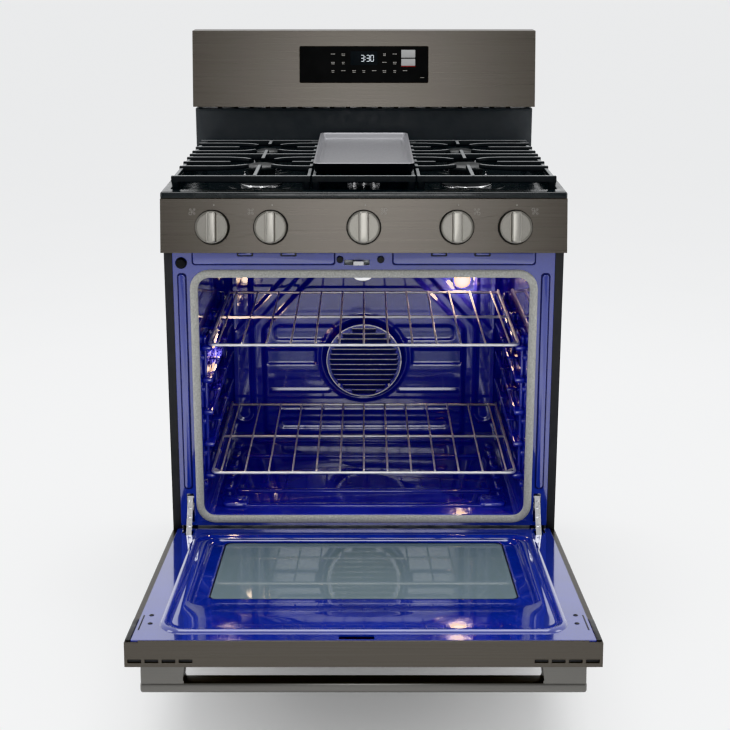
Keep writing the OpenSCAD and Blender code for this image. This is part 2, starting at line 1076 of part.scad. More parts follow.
module door_insulation() {
    v0 = door_face_v + 5.4;
    depth = door_back_v - 16 - v0;
    color("khaki")
        on_door()
            along_y(v0, depth)
                difference() {
                    translate([0, 299])
                        square([640, 500], center = true);
                    translate([0, window_u])
                        square([window_w + 62, window_h + 62], center = true);
                }
}

module door_hinge_channels() {
    color("silver")
        on_door()
            both_sides()
                difference() {
                    union() {
                        block(357, 359, door_face_v + 1.2, 9, -12, 60);
                        block(348.2, 350.2, door_face_v + 1.2, 9, -12, 60);
                        block(350.2, 357, door_face_v + 1.2, door_face_v + 3.2, -12, 60);
                        block(359, 366, door_face_v + 1.2, door_face_v + 3.2, -12, 60);
                    }
                    rod([345, 0, 0], [362, 0, 0], 4.06);
                }
}

module door_handle() {
    bar_half = 357.5;
    bar_u = u_top - 22 - 34;
    bar_v = door_face_v - 53;
    color("gray")
        on_door() {
            block(-bar_half, bar_half, bar_v, bar_v + 18, bar_u, bar_u + 34);
            both_sides()
                block(bar_half - 70, bar_half, bar_v + 18, door_face_v, bar_u + 1, bar_u + 33);
        }
}

// ---- Racks ----

module rack(z) {
    half = 301;
    front = -270;
    back = 166;
    wires = 13;
    pitch = 2 * (half - 18) / (wires - 1);
    color("lightgray")
        translate([0, 0, z]) {
            for (y = [front, (front + back) / 2, back])
                rod([-half, y, 0], [half, y, 0], 3);
            for (i = [0 : wires - 1])
                rod([-half + 18 + i * pitch, front, 3.4], [-half + 18 + i * pitch, back, 3.4], 2);
            for (x = [-half, half]) {
                rod([x, front, 0], [x, back + 12, 0], 3);
                translate([x, front, 0])
                    sphere(r = 3, $fn = 24);
            }
        }
}

module rack_upper() {
    rack(cavity_z + rack_high + 0.2);
}

module rack_lower() {
    rack(cavity_z + rack_low + 0.2);
}

// ---- Grates and griddle ----

grate_front = -286;
grate_back = 230;
grate_mid = 12.5;
grate_depth = 13;
finger_depth = 7.2;
bar = 9;

module grate_legs(x0, x1) {
    for (x = [x0, x1])
        for (y = [grate_front + 8, grate_back - 8])
            translate([x, y, pan_z + 0.2])
                cylinder(r = 7, h = grate_top - grate_depth - pan_z, $fn = 24);
}

// One side grate on the right: frame, cross bars and fingers that stop short of each burner.
module side_grate() {
    x0 = 99.5;
    x1 = 361;
    translate([0, 0, grate_top - grate_depth])
        linear_extrude(grate_depth) {
            difference() {
                translate([x0, grate_front])
                    square([x1 - x0, grate_back - grate_front]);
                translate([x0 + bar, grate_front + bar])
                    square([x1 - x0 - 2 * bar, grate_back - grate_front - 2 * bar]);
            }
            translate([x0, grate_mid - bar / 2])
                square([x1 - x0, bar]);
        }
    translate([0, 0, grate_top - finger_depth])
        linear_extrude(finger_depth)
            for (by = [burner_front_y, burner_rear_y]) {
                near = by == burner_front_y ? grate_front : grate_mid;
                far = by == burner_front_y ? grate_mid : grate_back;
                for (side = [-1, 1]) {
                    wall = side < 0 ? x0 : x1;
                    stroke([[wall - side * 5, by], [burner_x + side * 63, by]], 8);
                    for (dy = [-1, 1])
                        stroke([[wall - side * 5, by + dy * 61], [burner_x + side * 62, by + dy * 61],
                            [burner_x + side * 36, by + dy * 52], [burner_x + side * 24, by + dy * 40]], 8);
                }
                stroke([[burner_x, near + 5], [burner_x, by - 48]], 8);
                stroke([[burner_x, far - 5], [burner_x, by + 48]], 8);
            }
    grate_legs(x0 + 8, x1 - 8);
}

module centre_grate() {
    half = 98;
    translate([0, 0, grate_top - grate_depth])
        linear_extrude(grate_depth) {
            difference() {
                translate([-half, grate_front])
                    square([2 * half, grate_back - grate_front]);
                translate([-half + bar, grate_front + bar])
                    square([2 * half - 2 * bar, grate_back - grate_front - 2 * bar]);
            }
            for (y = [-170, 190])
                translate([-half, y])
                    square([2 * half, bar]);
        }
    translate([0, 0, grate_top - finger_depth])
        linear_extrude(finger_depth)
            for (y = [-50, 15, 80])
                for (side = [-1, 1])
                    stroke([[side * (half - 5), y], [side * 46, y]], 8);
    grate_legs(-half + 8, half - 8);
}

module grate_left() {
    color("black")
        mirror([1, 0, 0])
            side_grate();
}

module grate_centre() {
    color("black")
        centre_grate();
}

module grate_right() {
    color("black")
        side_grate();
}

module griddle() {
    w = 192;
    y0 = -246;
    y1 = 215;
    wall = 5;
    color("slategray")
        translate([0, (y0 + y1) / 2, grate_top + 0.2])
            difference() {
                linear_extrude(18)
                    rounded(w, y1 - y0, 12);
                translate([0, 0, 5])
                    linear_extrude(20)
                        rounded(w - 2 * wall, y1 - y0 - 2 * wall, 9);
            }
}

side_panel_left();
side_panel_right();
rear_panel();
base_frame();
levelling_legs();
front_frame();
oven_gasket();
oven_liner();
oven_rear_wall();
oven_floor();
fan_cover();
convection_fan();
fan_motor();
broil_burner();
bake_burner();
oven_lamps();
temperature_sensor();
insulation();
cooktop_pan();
burner_bases();
burner_caps();
gas_manifold();
gas_valves();
cord_gland();
control_panel();
knob_bezels();
valve_stem_1();
valve_stem_2();
valve_stem_3();
valve_stem_4();
valve_stem_5();
knob_1();
knob_2();
knob_3();
knob_4();
knob_5();
backguard_lower();
backguard_panel();
display_glass();
control_board();
latch_housing();
door_latch();
hinge_receivers();
hinge_strut_left();
hinge_strut_right();
drawer_rails();
drawer_front();
drawer_box();
door_skin();
door_liner();
door_glass();
door_insulation();
door_hinge_channels();
door_handle();
rack_upper();
rack_lower();
grate_left();
grate_centre();
grate_right();
griddle();
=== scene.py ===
"""Looks for the freestanding gas range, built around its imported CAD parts.

Shapes are written in millimetres in the part's frame and scaled to metres when a piece is made.
Pieces on the door are written in the door's own axes: x across, v through it, u up from the hinge.
"""

import json
from math import asin, atan2, cos, degrees, hypot, pi, radians, sin, sqrt

import bmesh
import bpy
from mathutils import Matrix, Vector


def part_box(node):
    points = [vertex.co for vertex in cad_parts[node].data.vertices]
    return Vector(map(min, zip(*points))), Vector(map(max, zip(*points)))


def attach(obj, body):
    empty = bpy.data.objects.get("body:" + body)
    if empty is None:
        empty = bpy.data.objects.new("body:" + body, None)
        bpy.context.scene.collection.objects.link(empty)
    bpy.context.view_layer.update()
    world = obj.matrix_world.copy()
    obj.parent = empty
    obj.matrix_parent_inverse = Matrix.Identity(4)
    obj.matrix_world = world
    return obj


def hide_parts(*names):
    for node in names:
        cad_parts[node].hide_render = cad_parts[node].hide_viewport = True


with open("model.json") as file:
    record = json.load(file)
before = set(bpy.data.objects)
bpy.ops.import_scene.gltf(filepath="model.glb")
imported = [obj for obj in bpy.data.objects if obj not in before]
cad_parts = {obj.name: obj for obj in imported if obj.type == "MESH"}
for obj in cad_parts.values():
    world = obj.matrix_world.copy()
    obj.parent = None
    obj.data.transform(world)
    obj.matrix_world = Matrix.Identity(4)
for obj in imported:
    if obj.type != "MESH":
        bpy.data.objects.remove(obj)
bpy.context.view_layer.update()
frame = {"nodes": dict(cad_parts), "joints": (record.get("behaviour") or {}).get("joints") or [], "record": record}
nodes = frame["nodes"]
joints = {joint["name"]: joint for joint in frame["joints"]}
MM, METRE = 0.001, 1000

# ---- Frames of the parts that lean or turn ----


def about(axis, angle):
    return Matrix.Rotation(radians(angle), 4, axis)


def place(origin, turn_x):
    """A frame at origin (mm), turned about X by an angle in degrees."""
    return Matrix.Translation(origin) @ about("X", turn_x)


def box_mm(node):
    low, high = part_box(node)
    return low * METRE, high * METRE


hinge = Vector(joints["door_hinge"]["pos_m"]) * METRE
DOOR = place(hinge, -joints["door_hinge"]["range_deg"][0])
knob_axis = Vector(joints["knob_1_turn"]["axis"])
panel_low = box_mm("control_panel")[0]
PANEL = place((0, panel_low.y, panel_low.z), -degrees(asin(abs(knob_axis.z))))
guard_low, guard_high = box_mm("backguard_panel")
guard_lean = degrees(atan2(27, 164.5))  # its face runs back 27 mm over a rise of 164.5 mm
GUARD = place((0, guard_low.y, guard_low.z), -guard_lean)
FLAT = Matrix.Identity(4)
FACE_OUT = about("X", 90)  # turns a shape drawn in XY to face -Y


def at(x, y, z, matrix=FLAT):
    return matrix @ Matrix.Translation((x, y, z))


# ---- Mesh making ----


def circle(radius, steps):
    return [(radius * cos(a), radius * sin(a)) for a in (2 * pi * k / steps for k in range(steps))]


def stack(make_ring, level, steps):
    """Rings for a loft, from (inset, height above level) pairs."""
    return [make_ring(inset, level + z) for inset, z in steps]


def rounded_rect(half_w, half_h, corner, steps=4, sides=1):
    """Points around a rounded rectangle, with each straight side split into a number of steps."""
    corner = max(min(corner, half_w - 0.01, half_h - 0.01), 0.01)
    points = []
    for quarter in range(4):
        sx = (1, -1, -1, 1)[quarter]
        sy = (1, 1, -1, -1)[quarter]
        for k in range(steps + 1):
            a = radians(90 * quarter + 90 * k / steps)
            points.append((sx * (half_w - corner) + corner * cos(a),
                           sy * (half_h - corner) + corner * sin(a)))
        if sides > 1:
            start = points[-1]
            end = (start[0], -start[1]) if quarter % 2 else (-start[0], start[1])
            points += [(start[0] + (end[0] - start[0]) * k / sides,
                        start[1] + (end[1] - start[1]) * k / sides) for k in range(1, sides)]
    return points


def smooth_line(points, radius, steps=5):
    """A polyline in 3-D with its corners rounded."""
    pts = [Vector(p) for p in points]
    out = [pts[0]]
    for before, corner, after in zip(pts, pts[1:], pts[2:]):
        into, away = corner - before, after - corner
        cut = min(radius, into.length * 0.48, away.length * 0.48)
        start, end = corner - into.normalized() * cut, corner + away.normalized() * cut
        for k in range(steps + 1):
            t = k / steps
            out.append(start * (1 - t) ** 2 + corner * 2 * t * (1 - t) + end * t * t)
    return out + [pts[-1]]


class Shape:
    """Collects closed solids, in millimetres, into the mesh of one piece."""

    def __init__(self, matrix=FLAT):
        self.matrix, self.verts, self.faces = matrix, [], []

    def add(self, verts, faces, matrix=FLAT):
        start, world = len(self.verts), self.matrix @ matrix
        self.verts += [world @ Vector(v) for v in verts]
        self.faces += [[start + i for i in face] for face in faces]
        return self

    def loft(self, rings, matrix=FLAT, loop=False):
        """Joins rings that have the same number of points, and closes both ends unless it loops."""
        count, faces = len(rings[0]), []
        pairs = range(len(rings)) if loop else range(len(rings) - 1)
        for i in pairs:
            a, b = i * count, (i + 1) % len(rings) * count
            faces += [(a + k, a + (k + 1) % count, b + (k + 1) % count, b + k) for k in range(count)]
        if not loop:
            last = (len(rings) - 1) * count
            faces += [list(range(count))[::-1], [last + k for k in range(count)]]
        return self.add([p for ring in rings for p in ring], faces, matrix)

    def slab(self, low, high, edge=1.0, corner=None, matrix=FLAT):
        """A box between two corners with rounded edges; corner rounds it in plan as well."""
        low, high = Vector(low), Vector(high)
        mid, half = (low + high) / 2, (high - low) / 2
        edge = min(edge, half.x * 0.95, half.y * 0.95, half.z * 0.95)
        corner = max(corner or edge, edge)
        rings, steps = [], 3
        for sign in (-1, 1):
            for k in range(steps + 1):
                a = pi / 2 * (k if sign < 0 else steps - k) / steps
                inset = edge * (1 - sin(a))
                z = mid.z + sign * (half.z - edge + edge * cos(a))
                rings.append([(mid.x + x, mid.y + y, z) for x, y in
                              rounded_rect(half.x - inset, half.y - inset, max(corner - inset, 0.02))])
        return self.loft(rings, matrix)

    def slab_pair(self, low, high, *rounding):
        """The same slab on the right and on the left."""
        for side in (-1, 1):
            x0, x1 = sorted((side * low[0], side * high[0]))
            self.slab((x0, *low[1:]), (x1, *high[1:]), *rounding)

    def lathe(self, profile, matrix=FLAT, steps=48, ripple=None):
        """Turns (radius, height) points about Z. ripple(angle, radius) may change a radius."""
        rings = []
        for radius, height in profile:
            angles = [2 * pi * k / steps for k in range(steps)]
            radii = [ripple(a, radius) if ripple else radius for a in angles]
            rings.append([(r * cos(a), r * sin(a), height) for r, a in zip(radii, angles)])
        return self.loft(rings, matrix)

    def ring(self, outline, section, matrix=FLAT):
        """Sweeps a closed section of (inset, height) points round an outline function of the inset."""
        return self.loft([[(x, y, height) for x, y in outline(inset)] for inset, height in section],
                         matrix, loop=True)

    def tube(self, path, radius, sides=8):
        """A round bar along a path, with domed ends."""
        pts = [Vector(p) for p in path]
        tangents = [(b - a).normalized() for a, b in zip(pts, pts[1:])]
        tangents = [tangents[0]] + [(a + b).normalized() for a, b in zip(tangents, tangents[1:])] + \
            [tangents[-1]]
        up = Vector((0, 0, 1)) if abs(tangents[0].z) < 0.9 else Vector((1, 0, 0))
        rings = []
        for k, (p, t) in enumerate(zip(pts, tangents)):
            side = t.cross(up).normalized()
            up = side.cross(t).normalized()
            spots = [(p, 1.0)]
            if k == 0:
                spots = [(p - t * radius * 0.45, 0.35), (p - t * radius * 0.25, 0.8), (p, 1.0)]
            elif k == len(pts) - 1:
                spots = [(p, 1.0), (p + t * radius * 0.25, 0.8), (p + t * radius * 0.45, 0.35)]
            for spot, scale in spots:
                rings.append([spot + (side * x + up * y) * radius * scale for x, y in circle(1, sides)])
        return self.loft(rings)

    def grid(self, xs, ys, height, back):
        """A closed plate whose front follows height(x, y) and whose back is flat."""
        front = [(x, y, height(x, y)) for y in ys for x in xs]
        rear = [(x, y, back) for y in ys for x in xs]
        nx, ny, total = len(xs), len(ys), len(xs) * len(ys)
        faces = []
        for j in range(ny - 1):
            for i in range(nx - 1):
                a = j * nx + i
                faces.append((a, a + 1, a + nx + 1, a + nx))
        edge = [i for i in range(nx)] + [(j + 1) * nx - 1 for j in range(1, ny)] + \
            [total - 1 - i for i in range(1, nx)] + [(ny - 1 - j) * nx for j in range(1, ny - 1)]
        faces += [(edge[k], total + edge[k], total + edge[(k + 1) % len(edge)], edge[(k + 1) % len(edge)])
                  for k in range(len(edge))]
        faces.append([total + k for k in edge][::-1])
        return self.add(front + rear, faces)

    def mesh(self, name):
        mesh = bpy.data.meshes.new(name)
        used = sorted({i for face in self.faces for i in face})
        index = {old: new for new, old in enumerate(used)}
        mesh.from_pydata([self.verts[i] * MM for i in used], [],
                         [[index[i] for i in face] for face in self.faces])
        mesh.validate()
        face_outward(mesh)
        return mesh


def add_object(name, data):
    obj = bpy.data.objects.new(name, data)
    bpy.context.scene.collection.objects.link(obj)
    return obj


def cut_out(obj, cutter_mesh):
    """Takes one mesh out of an object and leaves no modifier behind."""
    cutter = add_object(cutter_mesh.name, cutter_mesh)
    modifier = obj.modifiers.new("cut", "BOOLEAN")
    modifier.operation, modifier.solver, modifier.object = "DIFFERENCE", "EXACT", cutter
    view = bpy.context.evaluated_depsgraph_get()
    result = bpy.data.meshes.new_from_object(obj.evaluated_get(view))
    obj.modifiers.clear()
    obj.data = result
    bpy.data.objects.remove(cutter)
    return result


def face_outward(mesh):
    work = bmesh.new()
    work.from_mesh(mesh)
    bmesh.ops.recalc_face_normals(work, faces=work.faces)
    work.to_mesh(mesh)
    work.free()

# ---- Materials ----


class Nodes:
    """Shorthand for building a node tree."""

    def __init__(self, tree):
        self.tree = tree

    def feed(self, node, inputs):
        """Links each input that is given a socket and sets the others to a plain value."""
        for socket, value in inputs.items():
            if isinstance(value, bpy.types.NodeSocket):
                self.tree.links.new(value, node.inputs[socket])
            else:
                node.inputs[socket].default_value = value

    def node(self, kind, inputs, **values):
        """Adds a node and returns its outputs."""
        made = self.tree.nodes.new("ShaderNode" + kind)
        for key, value in values.items():
            setattr(made, key, value)
        self.feed(made, inputs)
        return made.outputs

    def span(self, value, low, high, source=(0.3, 0.7)):
        return self.node("MapRange", {"Value": value, "From Min": source[0], "From Max": source[1],
                                      "To Min": low, "To Max": high})["Result"]


class Look(Nodes):
    """A node material on the Principled shader. Uniform values go on the shader's own sockets."""

    def __init__(self, name, color, rough, metal=0.0, **sockets):
        self.material = bpy.data.materials.new(name)
        self.material.use_nodes = True
        super().__init__(self.material.node_tree)
        self.shader = self.tree.nodes["Principled BSDF"]
        self.normal = None
        self.feed(self.shader, {"Base Color": (*color, 1), "Roughness": rough, "Metallic": metal})
        self.feed(self.shader, {socket.replace("_", " "): value for socket, value in sockets.items()})

    def coords(self, stretch=(1, 1, 1), turn=(0, 0, 0)):
        return self.node("Mapping", {"Scale": stretch, "Rotation": [radians(a) for a in turn],
                                     "Vector": self.node("TexCoord", {})["Object"]})["Vector"]

    def noise(self, scale, stretch=(1, 1, 1), detail=3.0):
        return self.node("TexNoise", {"Scale": scale, "Detail": detail,
                                      "Vector": self.coords(stretch)})["Fac"]

    def cells(self, scale):
        return self.node("TexVoronoi", {"Scale": scale, "Vector": self.coords()})["Distance"]

    def wave(self, scale, turn):
        return self.node("TexWave", {"Scale": scale, "Vector": self.coords(turn=turn)})["Fac"]

    def painted_top_light(self):
        """The upward part of the surface's own normal, for painting tops lighter and sides darker: painted
        highlight and painted shade from the light above.
        """
        return self.node("SeparateXYZ", {"Vector": self.node("TexCoord", {})["Normal"]})["Z"]

    def paint(self, share, first, second):
        """Mixes two colours into the base colour. Sockets 0, 6 and 7 are the share and the colours."""
        mixed = self.node("Mix", {0: share, 6: first, 7: second}, data_type="RGBA")[2]
        self.feed(self.shader, {"Base Color": mixed})
        return self

    def tint(self, value, first, second, source=(0.3, 0.7)):
        return self.paint(self.span(value, 0, 1, source), (*first, 1), (*second, 1))

    def fleck(self, value, color, source):
        """Puts a second colour over the one that is already linked, where value is low."""
        base = self.shader.inputs["Base Color"].links[0].from_socket
        return self.paint(self.span(value, 1, 0, source), base, (*color, 1))

    def vary_rough(self, value, low, high):
        self.feed(self.shader, {"Roughness": self.span(value, low, high)})
        return self

    def bump(self, value, depth_mm):
        inputs = {"Distance": depth_mm * MM, "Strength": 1.0, "Height": value}
        if self.normal:
            inputs["Normal"] = self.normal
        self.normal = self.node("Bump", inputs)["Normal"]
        self.feed(self.shader, {"Normal": self.normal})
        return self

    def tint_rough_bump(self, colors, rough, bumps, depth):
        """Tints, roughness and fine bumps. Each begins with the pattern that drives it."""
        self.tint(*colors)
        self.vary_rough(*rough)
        return self.bump(bumps, depth).material


def brushed(name, dark, light, rough, stretch=(3, 1500, 1500)):
    """Sheet metal with fine streaks across it, along the axis that stretch leaves long."""
    look = Look(name, dark, rough, 1.0)
    return look.tint_rough_bump((look.noise(1.0, stretch, 3), dark, light),
                     (look.noise(1.0, stretch, 2), rough - 0.03, rough + 0.04),
                     look.noise(1.0, stretch, 2), 0.006)


def enamel(name, deep, pale, flecks, rough=0.1, fleck_scale=420, coat=1.0, level=0.8, peel=0.05):
    """Glossy porcelain on steel: a cloudy ground colour with fine flecks and slight orange peel."""
    look = Look(name, deep, rough, 0, Coat_Weight=coat, Coat_Roughness=0.03, Coat_IOR=1.7,
                Specular_IOR_Level=level)
    look.tint(look.noise(14, detail=5), deep, pale)
    look.fleck(look.cells(fleck_scale), flecks, (0.10, 0.16))
    look.vary_rough(look.noise(40), rough * 0.7, rough * 1.5)
    return look.bump(look.noise(160, detail=2), peel).material


def painted(name, first, second, rough, grain=900, depth=0.05, level=0.5):
    look = Look(name, first, rough, 0, Specular_IOR_Level=level)
    return look.tint_rough_bump((look.noise(22, detail=4), first, second),
                     (look.noise(55), rough * 0.85, min(rough * 1.2, 1)),
                     look.noise(grain, detail=3), depth)


def polished(name, first, second, rough):
    look = Look(name, first, rough, 1.0)
    return look.tint_rough_bump((look.noise(60, detail=4), first, second),
                     (look.noise(180), rough * 0.7, rough * 1.6), look.noise(320, detail=2), 0.01)


def glowing(name, color, strength, base=(0.02, 0.02, 0.02)):
    look = Look(name, base, 0.3, 0, Emission_Strength=strength, Emission_Color=(*color, 1))
    look.tint(look.noise(90), base, tuple(c * 1.3 for c in base))
    return look.material


def spangled():
    look = Look("galvanised", (0.5, 0.5, 0.5), 0.4, 1.0)
    return look.tint_rough_bump((look.cells(55), (0.42, 0.43, 0.44), (0.54, 0.55, 0.56), (0.0, 0.6)),
                     (look.noise(30), 0.32, 0.5), look.noise(200), 0.02)


def woven():
    look = Look("gasket_weave", (0.3, 0.3, 0.28), 0.85, 0, Sheen_Weight=0.35)
    look.tint(look.noise(320, detail=4), (0.34, 0.34, 0.315), (0.54, 0.54, 0.505))
    look.bump(look.wave(150, (0, 45, 0)), 0.5)
    return look.bump(look.wave(150, (0, -45, 0)), 0.5).material


def cast():
    look = Look("cast_iron", (0.022, 0.023, 0.024), 0.3, 0, Specular_IOR_Level=0.25)
    # Painted light: tops lighter and sides darker by the upward part of the normal, a painted highlight on the
    # tops and painted shade on the sides.
    return look.tint_rough_bump((look.painted_top_light(), (0.012, 0.013, 0.014), (0.235, 0.243, 0.248), (0.72, 0.99)),
                     (look.noise(120), 0.42, 0.56), look.noise(700, detail=4), 0.03)


def griddle_coat():
    look = Look("griddle_iron", (0.30, 0.30, 0.30), 0.36, 0.35)
    # Painted light: the top is lighter and the walls near black by the upward part of the normal, a painted
    # reflection of the bright room on the top and painted shade on the walls.
    return look.tint_rough_bump((look.painted_top_light(), (0.012, 0.012, 0.013), (0.31, 0.31, 0.325), (0.02, 0.25)),
                     (look.noise(300, detail=4), 0.30, 0.42), look.noise(900, detail=3), 0.05)


def tinted_glass():
    """The inner pane is pale; the outer one, on the room's side of the door, is printed dark."""
    look = Look("oven_glass", (0.19, 0.245, 0.265), 0.03, 0, Transmission_Weight=0.2, IOR=1.5)
    inward = DOOR.to_3x3() @ Vector((0, 1, 0))
    between = (DOOR @ Vector((0, -6, 0))).dot(inward) * MM
    depth = look.node("VectorMath", {0: look.node("TexCoord", {})["Object"], 1: inward},
                      operation="DOT_PRODUCT")["Value"]
    look.tint(depth, (0.022, 0.025, 0.027), (0.19, 0.245, 0.265), (between - 0.004, between + 0.004))
    look.vary_rough(look.noise(12), 0.02, 0.05)
    return look.material


def wool():
    look = Look("mineral_wool", (0.55, 0.45, 0.2), 0.95)
    look.tint(look.noise(70, detail=8), (0.42, 0.33, 0.12), (0.72, 0.60, 0.30))
    return look.bump(look.noise(240, detail=8), 1.5).material


LOOKS = {name: kind(name, *values) for kind, name, *values in (
    (painted, "casing_paint", (0.020, 0.020, 0.021), (0.023, 0.023, 0.024), 0.45, 900, 0.006),
    (brushed, "black_stainless", (0.096, 0.088, 0.079), (0.112, 0.104, 0.094), 0.30),
    (brushed, "handle_metal", (0.140, 0.137, 0.130), (0.160, 0.156, 0.148), 0.32),
    (brushed, "knob_metal", (0.29, 0.28, 0.255), (0.34, 0.33, 0.305), 0.32, (1500, 1500, 3)),
    (enamel, "blue_enamel", (0.012, 0.023, 0.21), (0.017, 0.032, 0.28), (0.05, 0.07, 0.42)),
    (enamel, "cavity_enamel", (0.030, 0.034, 0.27), (0.040, 0.048, 0.36), (0.09, 0.10, 0.36), 0.11, 300,
     0.8, 0.6),
    (painted, "burner_tube", (0.16, 0.15, 0.14), (0.26, 0.24, 0.22), 0.5, 300, 0.05),
    (glowing, "lamp_lens", (1.0, 0.56, 0.22), 9.0, (0.8, 0.7, 0.5)),
    (polished, "bright_steel", (0.72, 0.72, 0.73), (0.84, 0.84, 0.85), 0.14),
    (enamel, "black_enamel", (0.010, 0.012, 0.013), (0.014, 0.016, 0.017), (0.03, 0.032, 0.034), 0.22, 600,
     0.15, 0.45, 0.012),
    (polished, "burner_alloy", (0.42, 0.42, 0.43), (0.56, 0.56, 0.57), 0.3),
    (polished, "brass_fitting", (0.62, 0.44, 0.16), (0.75, 0.56, 0.24), 0.28),
    (painted, "black_rubber", (0.012, 0.012, 0.012), (0.022, 0.022, 0.022), 0.75, 500, 0.1),
    (painted, "guard_paint", (0.048, 0.052, 0.056), (0.058, 0.062, 0.066), 0.45, 900, 0.03),
    (painted, "display_black", (0.006, 0.006, 0.006), (0.008, 0.008, 0.008), 0.16, 90, 0.005, 0.05),
    (painted, "circuit_board", (0.01, 0.10, 0.03), (0.02, 0.16, 0.05), 0.4, 400, 0.05),
    (painted, "dark_trim", (0.010, 0.010, 0.010), (0.016, 0.016, 0.016), 0.38, 600, 0.04),
    (painted, "legend_print", (0.30, 0.29, 0.27), (0.38, 0.37, 0.35), 0.5, 400, 0.01),
    (painted, "icon_print", (0.20, 0.19, 0.175), (0.25, 0.24, 0.22), 0.5, 400, 0.01),
    (painted, "head_alloy", (0.030, 0.031, 0.032), (0.050, 0.051, 0.052), 0.7, 300, 0.05, 0.1),
    (brushed, "disc_metal", (0.200, 0.193, 0.176), (0.235, 0.227, 0.208), 0.36, (1500, 1500, 3)),
    (polished, "rack_steel", (0.86, 0.85, 0.83), (0.95, 0.94, 0.92), 0.46),
    # a near-black blue enamel for painted shade: round the pressed fields of the frame and in the fan cover's
    # openings
    (enamel, "outline_enamel", (0.002, 0.003, 0.05), (0.004, 0.006, 0.07), (0.02, 0.02, 0.12), 0.3, 420,
     0.1, 0.3),
    (painted, "cap_coat", (0.035, 0.037, 0.038), (0.055, 0.057, 0.058), 0.36, 300, 0.08, 0.8),
    (glowing, "clock_light", (0.85, 0.93, 1.0), 1.2),
    (painted, "button_print", (0.30, 0.30, 0.30), (0.36, 0.36, 0.36), 0.45, 400, 0.01),
    (painted, "stop_print", (0.30, 0.02, 0.02), (0.40, 0.03, 0.03), 0.5, 400, 0.01),
    (painted, "clock_window", (0.016, 0.017, 0.018), (0.020, 0.021, 0.022), 0.3, 400, 0.005, 0.05),
)}
LOOKS.update(galvanised_sheet=spangled(), gasket_weave=woven(), mineral_wool=wool(), cast_iron=cast(),
             griddle_iron=griddle_coat(), oven_glass=tinted_glass())

slot_of = {part["node"]: part["material_slot"] for part in frame["record"]["subparts"]}
body_of = {node: body for body, members in frame["record"]["behaviour"]["bodies"].items()
           for node in members}

for name, obj in nodes.items():
    obj.data.materials.clear()
    obj.data.materials.append(LOOKS["burner_alloy" if name == "door_latch" else slot_of[name]])


def soften(node, width_mm):
    """Joins a CAD node's split edges and rounds them, with modifiers only."""
    obj = nodes[node]
    weld = obj.modifiers.new("weld", "WELD")
    weld.merge_threshold = 1e-5
    bevel = obj.modifiers.new("bevel", "BEVEL")
    bevel.width, bevel.segments = width_mm * MM, 3
    bevel.limit_method, bevel.angle_limit = "ANGLE", radians(32)
    bevel.harden_normals = False
    smooth = obj.modifiers.new("normals", "WEIGHTED_NORMAL")
    smooth.keep_sharp = True


def make(shape, name, slot, *stands_for, body=None, look=None, angle=38, cuts=None):
    """Turns a shape into a piece, with the solids of cuts taken out of it.

    Unless given, its body is that of the first node it stands for, or else the chassis,
    and its look is its slot's.
    """
    mesh = shape.mesh(name)
    obj = add_object(name, mesh)
    if cuts:
        mesh = cut_out(obj, cuts.mesh(name + "_cuts"))
    mesh.materials.clear()
    mesh.materials.append(LOOKS[look or slot])
    mesh.shade_smooth()
    mesh.set_sharp_from_angle(angle=radians(angle))
    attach(obj, body or (body_of[stands_for[0]] if stands_for else "chassis"))
    if stands_for:
        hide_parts(*stands_for)


# ---- Camera, light and floor ----

camera = add_object("camera", bpy.data.cameras.new("camera"))
camera_m, camera_tilt, camera_lens = (0.0023, -2.9364, 1.3521), 75.62, 70.4
camera.location = camera_m
camera.rotation_euler = (radians(camera_tilt), 0, 0)
camera.data.lens, camera.data.sensor_width = camera_lens, 36
camera.data.shift_y = -0.07
bpy.context.scene.camera = camera
bpy.context.scene.view_settings.view_transform = "Khronos PBR Neutral"

sky = bpy.data.worlds.new("studio")
bpy.context.scene.world = sky
sky.use_nodes = True
room = Nodes(sky.node_tree)
ahead = room.node("SeparateXYZ", {"Vector": room.node("TexCoord", {})["Generated"]})["Y"]
room.feed(room.tree.nodes["Background"], {"Color": (0.98, 0.99, 1.0, 1),
                                          "Strength": room.span(ahead, 0.5, 1.0, (-0.8, 0.1))})


def softbox(name, place_m, aim_m, width, height, power):
    light = bpy.data.lights.new(name, "AREA")
    light.shape, light.size, light.size_y, light.energy = "RECTANGLE", width, height, power
    obj = add_object(name, light)
    obj.location = place_m
    obj.rotation_euler = (Vector(aim_m) - Vector(place_m)).to_track_quat("-Z", "Y").to_euler()


softbox("front_box", (0, -3.6, 1.7), (0, 0, 0.9), 0.9, 1.6, 17)
softbox("top_box", (0, -0.2, 3.0), (0, -0.1, 0.9), 2.4, 2.2, 40)
softbox("left_box", (-2.6, -1.2, 1.6), (0, -0.2, 0.6), 1.0, 1.8, 14)
softbox("right_box", (2.6, -0.9, 1.6), (0, -0.2, 0.6), 1.0, 1.8, 12)
back_lamp, side_lamp = (221, 629), (-92, 568)  # x and z in the rear wall; y and z in the left wall
for bulb_mm in ((back_lamp[0], 170, back_lamp[1]), (-290, *side_lamp)):
    bulb = bpy.data.lights.new("oven_bulb", "POINT")
    bulb.color, bulb.energy, bulb.shadow_soft_size = (1.0, 0.72, 0.48), 0.4, 0.012
    add_object("oven_bulb", bulb).location = Vector(bulb_mm) * MM

floor_mesh = bpy.data.meshes.new("floor")
floor_mesh.from_pydata([(40, -40, 0), (40, 40, 0), (-40, 40, 0), (-40, -40, 0)], [], [(0, 1, 2, 3)])
floor_look = Look("floor", (0.9, 0.9, 0.9), 0.7, 0, Emission_Strength=0.12, Emission_Color=(1, 1, 1, 1))
floor_look.tint(floor_look.noise(3), (0.90, 0.90, 0.90), (0.92, 0.92, 0.92))
floor_mesh.materials.append(floor_look.material)
add_object("floor", floor_mesh)

# ---- Casing, frame and oven front ----

